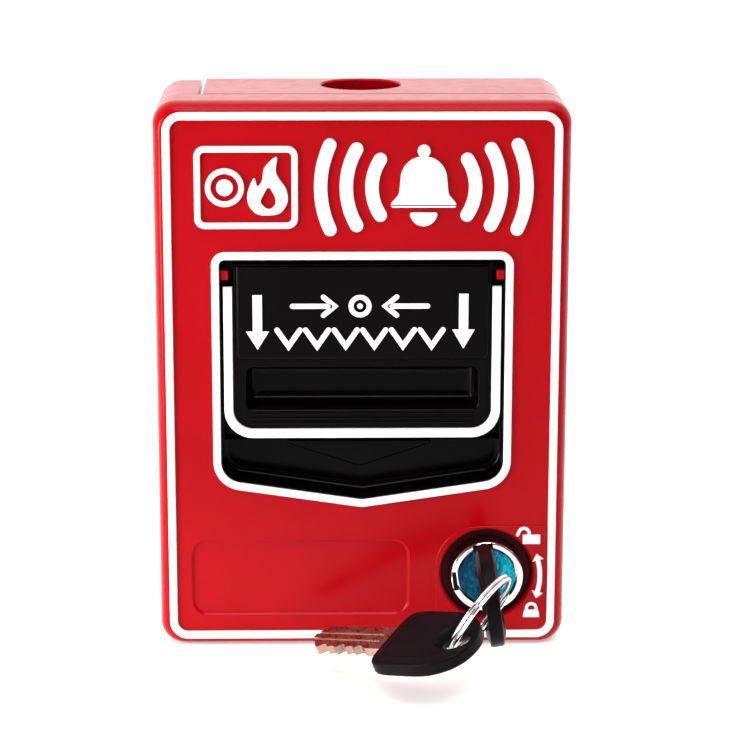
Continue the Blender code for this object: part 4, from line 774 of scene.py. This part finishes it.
def make_lock_signs():
    """Open padlock, a curved double arrow and a closed padlock, beside the lock."""

    def mark(name, outlines):
        """A thin symbol printed on the lock pad."""
        painted(name, outlines, front=FACE_Y - 0.62, rear=FACE_Y - 0.1, edge=0.08)

    mark("open_padlock_body", [rectangle(34.9, 38.7, -36.6, -34.5, 0.15, 3)])
    shackle = arc((35.15, -34.2), 1.15, -12, 168, 14) + [(33.75, -34.6)]
    mark("open_padlock_shackle", [stroke(shackle, SHACKLE_PEN, 5)])
    body = fillet([(38.8, -53.4), (38.55, -51.7), (35.45, -51.7), (35.2, -53.4)], [0.1, 0.3, 0.3, 0.1], 3)
    mark("closed_padlock_body", [body])
    shackle = [(35.95, -51.8)] + arc((37.0, -51.35), 1.05, 180, 0, 14) + [(38.05, -51.8)]
    mark("closed_padlock_shackle", [stroke(shackle, SHACKLE_PEN, 5)])
    path = arc(TURN_CENTRE, TURN_R, -TURN_REACH, TURN_REACH, 14)
    mark("turn_arrow_line", [stroke(path, TURN_PEN, square=True)])
    for name, way in (("top", 1), ("bottom", -1)):
        base, tip = radians(way * TURN_REACH), radians(way * (TURN_REACH + TURN_HEAD_DEGREES))
        points = [(TURN_R - TURN_HEAD_HW, base), (TURN_R + TURN_HEAD_HW, base), (TURN_R + 0.2, tip)]
        mark(f"turn_arrow_{name}", [[(TURN_CENTRE[0] + r * cos(a), TURN_CENTRE[1] + r * sin(a))
                                     for r, a in points]])


make_lock_signs()


# ---- handle well

WELL_FLOOR = -28.6
LEDGE_Z = -15.5
STAKES = [(x, z) for x in (33.5, -33.5) for z in (20.0, -12.0)]


def make_well():
    """The glossy black tray: a dished floor below the handle, with a sunken V."""
    front, rear = WELL_LOW.y, WELL_HIGH.y
    shell = prism("handle_well_tray", [window_outline(1.8)], front, -27.1)
    join(shell, prism("flange", [round_rect(36.8, 29.5, 3)], front, front + 1.5))
    inside = [(-36.0, 0.4), (WELL_FLOOR - 1.6, 0.4), (WELL_FLOOR - 0.9, 0.25), (WELL_FLOOR - 0.35, -0.15),
              (WELL_FLOOR - 0.08, -0.75), (WELL_FLOOR, -1.5)]
    cut(shell, loft("dish", [(y, window_outline(grow)) for y, grow in inside]))
    cut(shell, bar("opening", (-30.0, -30, -15.2), (30.0, -20, 21.0)),
        bar("top_opening", (-27.8, -30, 20.6), (27.8, -20, 27.0)))
    join(shell, bar("ledge", (-30.0, -28.2, LEDGE_Z - 3), (30.0, rear, LEDGE_Z)),
         bar("back", (-30.0, rear - 1.0, LEDGE_Z - 1), (30.0, rear, -8.5)))
    cut(shell, bar("arm_slot", (-14.2, -26.9, -40), (-7.4, -20, 0)))
    facet = fillet([(17.8, -15.2), (-18.8, -15.2), (-0.5, -21.3)], [0.5, 0.5, 0.8], 5)
    join(shell, prism("facet", [facet], WELL_FLOOR - 0.45, WELL_FLOOR + 0.1, 0.4, 3))
    cut(shell, *[disc("stake_hole", x, z, -36, -30, 1.4, steps=20) for x, z in STAKES])
    return shown(shell, BLACK, "cover", ["handle_well"])


def make_window_lip():
    """A thin black sleeve that lines the window's edge."""
    outlines = [window_outline(-0.03), window_outline(-0.33)]
    sleeve = prism("window_lip", outlines, FACE_Y - 0.25, WELL_LOW.y + 0.2, 0.12)
    return shown(sleeve, BLACK, "cover")


make_well()
make_window_lip()


# ---- pull handle

PANEL_Y = -35.9
U_W = 1.9
HANDLE_HW = HANDLE_HIGH.x
HANDLE_TOP, HANDLE_BOTTOM = HANDLE_HIGH.z, -12.6
HANDLE_FRONT, HANDLE_REAR = HANDLE_LOW.y, -28.9
U_TOP, U_R = 20.6, 6.2
PANEL_HW, PANEL_BOTTOM = 27.0, 4.6
POCKET_HW, POCKET_TOP, POCKET_BOTTOM, POCKET_R = 24.7, 2.6, -6.4, 1.4
RIB_COUNT, RIB_PITCH, RIB_HW, RIB_HH = 3, 1.0, 23.9, 0.24
NOTCH_X = 27.4
LUG_X, LUG_LOW, LUG_TOP = 13.0, 11, 15
ARM_LEFT, ARM_RIGHT, ARM_REAR = -13.8, -7.8, -23.0


def u_outline():
    """The raised white U along the handle's sides and bottom."""
    mid = HANDLE_HW - U_W / 2
    low, radius = HANDLE_BOTTOM + U_W / 2, U_R - U_W / 2
    path = [(-mid, U_TOP)] + arc((-mid + radius, low + radius), radius, 180, 270, 14)
    path += arc((mid - radius, low + radius), radius, 270, 360, 14) + [(mid, U_TOP)]
    return stroke(path, U_W, square=True)


def make_handle():
    """The black handle: a raised panel above a deep finger recess with grip ribs below it."""
    outline = fillet([(HANDLE_HW, HANDLE_TOP), (-HANDLE_HW, HANDLE_TOP), (-HANDLE_HW, HANDLE_BOTTOM),
                      (HANDLE_HW, HANDLE_BOTTOM)], [1.0, 1.0, U_R, U_R], 14)
    body = prism("pull_handle_body", [outline], PANEL_Y, HANDLE_REAR, 0.25)
    for side in (1, -1):
        low, high = sorted((side * NOTCH_X, side * 40))
        cut(body, bar("peg_notch", (low, -40, U_TOP), (high, -20, 30)))
    panel = fillet([(PANEL_HW, HANDLE_TOP), (-PANEL_HW, HANDLE_TOP), (-PANEL_HW, PANEL_BOTTOM),
                    (PANEL_HW, PANEL_BOTTOM)], [0.3, 0.3, 1.2, 1.2], 8)
    join(body, prism("text_panel", [panel], PANEL_Y - 0.8, PANEL_Y + 0.3, 0.75, 6))
    pocket = [(-37.5, -0.75), (PANEL_Y, -0.55), (PANEL_Y + 0.25, -0.25), (PANEL_Y + 0.7, 0.0), (-31.4, 0.15),
              (-30.4, 0.5), (-29.7, 1.3), (-29.4, 2.6)]
    cut(body, loft("finger_pocket", [
        (y, rectangle(inset - POCKET_HW, POCKET_HW - inset, POCKET_BOTTOM + inset, POCKET_TOP - inset,
                      max(POCKET_R - inset, 0.3)))
        for y, inset in pocket]))
    for k in range(RIB_COUNT):
        z = POCKET_BOTTOM - 1.15 - RIB_PITCH * k
        rib = rectangle(-RIB_HW, RIB_HW, z - RIB_HH, z + RIB_HH, 0.2, 4)
        join(body, prism(f"grip_rib_{k}", [rib], PANEL_Y - 0.5, PANEL_Y + 0.3, 0.22, 4))
    cut(body, bar("bar_relief", (-35, -32, -20), (35, -20, POCKET_BOTTOM - 1.6)))
    for x in (LUG_X, -LUG_X):
        join(body, bar("lug_neck", (x - 1.2, HANDLE_REAR - 0.4, LUG_LOW), (x + 1.2, -26.0, LUG_TOP)),
             bar("lug_head", (x - 2.6, -26.4, LUG_LOW), (x + 2.6, -23.4, LUG_TOP)))
    join(body, bar("arm_root", (ARM_LEFT, HANDLE_REAR - 0.4, -7.4), (ARM_RIGHT, ARM_REAR, -1.7)),
         bar("arm", (ARM_LEFT, -26.6, -26.0), (ARM_RIGHT, ARM_REAR, -2.5)))
    shown(body, BLACK, "pull", ["pull_handle"])
    shown(prism("handle_line", [u_outline()], HANDLE_FRONT, PANEL_Y + 0.3, 0.25, 3), WHITE, "pull")


make_handle()


SIGN_MID_X = -0.5  # middle of the handle's symbols


def handle_mark(name, outlines):
    """A raised white symbol on the handle's panel."""
    shown(prism(name, outlines, HANDLE_FRONT + 0.06, PANEL_Y - 0.6, 0.08, 2), WHITE, "pull")


def arrow_down(name, x, half_w, top, neck, head_hw, tip):
    """A block arrow that points down."""
    right = [(half_w, top), (half_w, neck), (head_hw, neck)]
    outline = [(x - across, z) for across, z in right] + [(x, tip)]
    handle_mark(name, [outline + [(x + across, z) for across, z in reversed(right)]])


arrow_down("arrow_left", -22.35, 1.0, 18.9, 10.95, 2.45, 6.95)
arrow_down("arrow_right", 21.55, 1.0, 19.1, 11.3, 2.4, 7.1)


def make_press_row():
    """A target with arrows closing on it from both sides: press here."""
    pen, z = 1.1, 16.45
    outer, inner, head_l, head_hh = 14.4, 5.4, 2.4, 2.0
    middle = (SIGN_MID_X, z)
    handle_mark("press_ring", [circle(middle, 2.45, 36), circle(middle, 1.4, 36)])
    handle_mark("press_dot", [circle(middle, 0.6, 18)])
    for side, way in (("left", 1), ("right", -1)):
        end, tip = SIGN_MID_X - way * outer, SIGN_MID_X - way * inner
        back = tip - way * head_l
        handle_mark(f"press_{side}_line", [stroke([(end, z), (tip - way * 0.9, z)], pen, 5)])
        head = [(back, z + head_hh), (tip, z), (back, z - head_hh)]
        handle_mark(f"press_{side}_head", [stroke(head, pen, 5)])


def make_chevron_row():
    """A row of chevrons pointing down."""
    pen, z, count, pitch = 1.15, 9.4, 6, 6.1
    half_w, rise, drop = 2.45, 1.85, 1.7
    for k in range(count):
        x = SIGN_MID_X + (k - (count - 1) / 2) * pitch
        path = [(x - half_w, z + rise), (x, z - drop), (x + half_w, z + rise)]
        handle_mark(f"chevron_{k + 1}", [stroke(path, pen, 5)])


make_press_row()
make_chevron_row()


# ---- lock

def key_turned(name, half_t, low, high, front, rear, turn=0.0, edge=0.0):
    """A block beside the lock's axis, from low to high along the key's own upright, leaning with the key."""
    angle = LOCK_CLOCK + turn
    up, side = Vector((-sin(angle), cos(angle))), Vector((cos(angle), sin(angle)))
    centre = Vector((LOCK_X, LOCK_Z))
    corner_list = ((half_t, high), (-half_t, high), (-half_t, low), (half_t, low))
    points = [centre + side * s + up * u for s, u in corner_list]
    return prism(name, [[tuple(p) for p in points]], front, rear, edge)


def make_bezel():
    """The chrome bezel, rolled at its rim and dished inwards, with its barrel behind."""
    bore = FACE_R + 0.2
    front, step = BEZEL_FRONT, BEZEL_FRONT + 2.6
    rim = [(BEZEL_R, RECESS_Y - 0.3), (BEZEL_R, front + 0.7), (BEZEL_R - 0.04, front + 0.4),
           (BEZEL_R - 0.15, front + 0.16), (BEZEL_R - 0.35, front + 0.03), (BEZEL_R - 0.55, front),
           (bore + 0.16, front + 0.05), (bore + 0.05, front + 0.14), (bore, front + 0.3), (bore, step),
           (4.9, step), (4.9, BARREL_END_Y), (BARREL_R, BARREL_END_Y), (BARREL_R, RECESS_Y - 0.3)]
    body = lathe("lock_bezel", rim, (LOCK_X, LOCK_Z))
    for name, half_w, turn in (("top", 2.2, 0), ("left", 2.1, pi / 2)):
        cut(body, key_turned("notch", half_w, FACE_R - 1.8, BEZEL_R - 0.4, front - 2, front + 1.7, turn))
        block = key_turned(f"bezel_notch_{name}", half_w - 0.02, bore + 0.03, BEZEL_R - 0.42,
                           front + 0.5, front + 1.69, turn, 0.1)
        shown(block, BLACK, "cover")
    return shown(body, CHROME, "cover", ["lock_body"], sharp=30)


def make_face():
    """The teal disc round the keyway."""
    front = BEZEL_FRONT + 0.7
    face = prism("plug_face_disc", [circle((LOCK_X, LOCK_Z), FACE_R, 64)], front, front + 1.5, 0.3)
    cut(face, key_turned("slot", 1.3, -4.0, 4.0, -45, -30))
    return shown(face, TEAL, "lock", ["plug_face"])


def make_recess_shade():
    """A dark ring on the floor and wall of the lock recess: painted shade, where the recess lies in shadow."""
    inner, wall, floor = BEZEL_R + 0.05, RECESS_R - 0.02, RECESS_Y
    profile = [(inner, floor - 0.02), (inner, floor - 0.5), (wall - 0.9, floor - 0.55),
               (wall - 0.35, floor - 0.8), (wall - 0.15, floor - 1.3), (wall - 0.1, FACE_Y + 0.75),
               (wall, FACE_Y + 0.7), (wall, floor - 0.4), (wall - 0.6, floor - 0.02)]
    return shown(lathe("lock_recess_shade", profile, (LOCK_X, LOCK_Z)), RECESS_SHADE, "cover")


make_bezel()
make_face()
make_recess_shade()


# ---- keys

BOW_L, BOW_HW, BOW_T = 22.0, 9.7, 4.2
BOW_RIM_T, BOW_SHOULDER, BOW_PANEL = 3.0, 0.90, 0.78
BOW_HOLE_IN, BOW_HOLE_R, COUNTERSINK = 4.8, 3.2, 1.7
BLADE_W, KEY_T = 7.4, 2.0
SOCKET_L, FIT = 5.2, 0.3
FLAT_END = BOW_HOLE_IN - BOW_L


def key_frame(hole, tip_to_bow, up):
    """A key's local frame: origin at the ring hole, +X from tip to bow, +Y across the blade."""
    x = Vector(tip_to_bow).normalized()
    y = (Vector(up) - x * x.dot(Vector(up))).normalized()
    turn = Matrix((x, y, x.cross(y))).transposed().to_4x4()
    return Matrix.Translation(Vector(hole) * MM) @ turn


def bow_outline(scale=1.0, steps=30):
    """A round end past the ring hole and a square end towards the blade."""
    centre = BOW_HOLE_IN - BOW_L / 2
    points = []
    for k in range(4 * steps):
        a = 2 * pi * k / (4 * steps)
        power = 2.15 if cos(a) > 0 else 6.5
        x = abs(cos(a)) ** (2 / power) * (1 if cos(a) > 0 else -1) * BOW_L / 2
        y = abs(sin(a)) ** (2 / power) * (1 if sin(a) > 0 else -1) * BOW_HW
        points.append((centre + x * scale, y * scale))
    return points


def make_head(name, place, body, node):
    """The bow: a rounded rim band, a sloping shoulder, a thick panel on each side and the ring hole.
    Each level of half is a height from the middle and the outline's scale there."""
    thick, thin = BOW_T / 2, BOW_RIM_T / 2
    half = [(thick, BOW_PANEL - 0.05), (thick - 0.03, BOW_PANEL - 0.01), (thick - 0.15, BOW_PANEL + 0.02),
            (thin + 0.12, BOW_SHOULDER - 0.01), (thin + 0.02, BOW_SHOULDER + 0.005),
            (thin, BOW_SHOULDER + 0.03), (thin - 0.03, 0.968), (thin - 0.16, 0.986), (thin - 0.42, 0.998),
            (thin - 0.7, 1.0)]
    levels = [(-z, scale) for z, scale in half] + half[::-1]
    head = loft(name, [(z, bow_outline(scale)) for z, scale in levels], along_z)
    mouth = BOW_HOLE_R + COUNTERSINK
    side = [(thick + 0.4, mouth), (thick - 0.3, mouth - 0.8), (thick - 1.6, BOW_HOLE_R)]
    hole = [(-z, radius) for z, radius in side] + side[::-1]
    cut(head, loft("ring_hole", [(z, circle((0, 0), radius, 48)) for z, radius in hole], along_z))
    socket = bar("blade_socket", (FLAT_END - 1, -KEY_T / 2 - FIT, -BLADE_W / 2 - FIT),
                 (FLAT_END + SOCKET_L + FIT, KEY_T / 2 + FIT, BLADE_W / 2 + FIT))
    socket.data.transform(Matrix.Rotation(pi / 2, 4, "X"))
    cut(head, socket)
    head.data.transform(place)
    return shown(head, KEY_BLACK, body, [node])


key_up = (-sin(LOCK_CLOCK), 0, cos(LOCK_CLOCK))
key_place = key_frame(KEY_HOLE, (0, -1, 0), key_up)
spare_place = key_frame(SPARE_HOLE, -SPARE_AXIS, SPARE_NORMAL.cross(-SPARE_AXIS))
make_head("key_bow", key_place, "key", "key_head")
make_head("spare_key_bow", spare_place, "spare_key", "spare_key_head")


# ---- split ring

RING_R, WIRE_R, RING_PITCH = 9.5, 0.4, 0.96
RING_CENTRE = Vector((23.92, -69.06, -41.58))
RING_NORMAL = Vector((-0.764, 0.402, 0.504)).normalized()
RING_START = Vector((1.5, 7.1, 3.9))  # towards the wire's first end
WIRE_END = [0.25, 0.6, 0.85, 1.0]  # the wire's thickness at its rounded ends


def make_ring():
    """Two turns of round wire, lying against each other."""
    side = (RING_START - RING_NORMAL * RING_START.dot(RING_NORMAL)).normalized()
    across = RING_NORMAL.cross(side)
    steps, around, turns = 180, 14, 2
    form = bmesh.new()
    loops = []
    count = steps * turns // 2
    for i in range(count + 1):
        angle = 2 * pi * turns * i / count
        out = side * cos(angle) + across * sin(angle)
        centre = RING_CENTRE + RING_NORMAL * RING_PITCH * (2 * i / count - 1) + out * RING_R
        wire = WIRE_R * WIRE_END[min(i, count - i, 3)]
        loops.append([form.verts.new(centre + (out * cos(b) + RING_NORMAL * sin(b)) * wire)
                      for b in (2 * pi * k / around for k in range(around))])
    skin(form, loops)
    cap(form, loops[:1])
    cap(form, loops[-1:])
    return shown(solid("split_ring_wire", form), CHROME, "ring", ["split_ring"], sharp=60, weld=False)


make_ring()


# ---- springs

def make_spring(name, place, centre, span, radius, wire, turns):
    """A compression coil over span, riding on the push body."""
    start, end = span
    form = bmesh.new()
    steps, around = 18 * turns, 8
    cx, cz = centre
    loops = []
    for k in range(steps + 1):
        turn = 2 * pi * turns * k / steps
        along = start + wire + (end - start - 2 * wire) * k / steps
        section = [(radius + wire * cos(a), along + wire * sin(a))
                   for a in (2 * pi * i / around for i in range(around))]
        loops.append([form.verts.new(place(cx + out * cos(turn), depth, cz + out * sin(turn)))
                      for out, depth in section])
    skin(form, loops)
    cap(form, loops[:1])
    cap(form, loops[-1:])
    coil = shown(solid(f"{name}_coil", form), STEEL, "push", [name], sharp=80)
    anchor = [MM * value for value in place(cx, start, cz)]
    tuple(place(0, 1, 0))
    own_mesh(coil)


GUIDE_X, GUIDE_Z = 19, 21
for side, sign in (("left", -1), ("right", 1)):
    make_spring(f"push_spring_{side}", along_y, (sign * GUIDE_X, GUIDE_Z), (-26.4, -19.9),
                2.37, 0.26, 5)
    make_spring(f"return_spring_{side}", along_z, (sign * LUG_X, -24.9), (1.3, 10.7),
                1.17, 0.19, 7)


# ---- floor, light and camera

FLOOR_SIZE = 4000
DIM_Y, PALE_Y = -0.19, -0.10  # metres: from PALE_Y to DIM_Y the floor turns greyer and stops glowing in front of the object, painted shade that the face mirrors


def make_floor():
    """A pale floor at the object's lower edge. It glows a little, painted light that washes out the object's
    shadows, and in front of the object it turns greyer and stops glowing, painted shade that the face mirrors.
    """
    form = bmesh.new()
    bmesh.ops.create_grid(form, x_segments=1, y_segments=1, size=FLOOR_SIZE)
    bmesh.ops.translate(form, vec=(0, 0, -HALF_H), verts=form.verts)
    floor = solid("floor", form)
    TOOLS.objects.unlink(floor)
    bpy.context.scene.collection.objects.link(floor)
    paint = Paint("floor_glow_and_shade", (0.95, 0.95, 0.95), 0.7, Emission_Color=(1, 1, 1, 1))
    split = paint.node("ShaderNodeSeparateXYZ", Vector=paint.where)
    painted_light_mask = paint.spread(split.outputs["Y"], 0.0, 1.0, DIM_Y, PALE_Y)
    # Painted shade: the floor is greyer in front of the object, where the face mirrors it.
    paint.base(paint.colours(painted_light_mask, (0.0, (0.60, 0.60, 0.60)), (1.0, (0.95, 0.95, 0.95))))
    # Painted light: the floor glows round and behind the object, washing out its shadows.
    paint.feed(paint.shader.inputs["Emission Strength"], paint.spread(painted_light_mask, 0.0, 0.35, 0.0, 1.0))
    floor.data.materials.append(paint.made)


make_floor()


def softbox(name, place, target, size, power):
    """A soft rectangular light at place, turned to target, in metres and watts."""
    light = bpy.data.lights.new(name, "AREA")
    light.shape = "RECTANGLE"
    light.size, light.size_y = size
    light.energy = power
    lamp = bpy.data.objects.new(name, light)
    bpy.context.scene.collection.objects.link(lamp)
    lamp.location = place
    lamp.rotation_euler = (Vector(target) - Vector(place)).to_track_quat("-Z", "Y").to_euler()


softbox("key_light", (-0.30, -0.20, 0.04), (0, -0.02, 0), (0.12, 0.22), 1.45)
softbox("front_light", (0.05, -0.75, 0.85), (0, 0, 0), (0.6, 0.35), 5)
softbox("top_light", (0.1, -0.25, 1.3), (0, 0, 0), (1.4, 1.0), 17)


def make_surroundings():
    """A white room, brighter behind the object than in front of it."""
    world = bpy.data.worlds.new("studio")
    world.use_nodes = True
    nodes, link = world.node_tree.nodes, world.node_tree.links.new
    split = nodes.new("ShaderNodeSeparateXYZ")
    link(nodes.new("ShaderNodeTexCoord").outputs["Generated"], split.inputs[0])
    level = nodes.new("ShaderNodeMapRange")
    for socket, value in (("From Min", -0.5), ("From Max", 0.8), ("To Min", 0.12), ("To Max", 1.6)):
        level.inputs[socket].default_value = value
    link(split.outputs["Y"], level.inputs["Value"])
    link(level.outputs["Result"], nodes["Background"].inputs["Strength"])
    nodes["Background"].inputs["Color"].default_value = (1, 1, 1, 1)
    bpy.context.scene.world = world


make_surroundings()
bpy.context.scene.view_settings.view_transform = "Standard"

LENS, SENSOR = 129.89, 36
EYE = (-0.0084, -0.5827, 0.1416)  # metres
YAW, PITCH, ROLL = radians(-0.94), radians(-14.19), radians(-0.06)


def make_camera():
    """The camera, looking along +Y from in front of the cover, a little above and to the left."""
    data = bpy.data.cameras.new("camera")
    data.lens = LENS
    data.sensor_width = SENSOR
    camera = bpy.data.objects.new("camera", data)
    bpy.context.scene.collection.objects.link(camera)
    aim = Matrix.Rotation(YAW, 4, "Z") @ Matrix.Rotation(PITCH, 4, "X") @ Matrix.Rotation(ROLL, 4, "Y")
    camera.matrix_world = Matrix.Translation(EYE) @ aim @ Matrix.Rotation(pi / 2, 4, "X")
    bpy.context.scene.camera = camera


make_camera()

bpy.data.collections.remove(TOOLS)
bpy.context.view_layer.update()
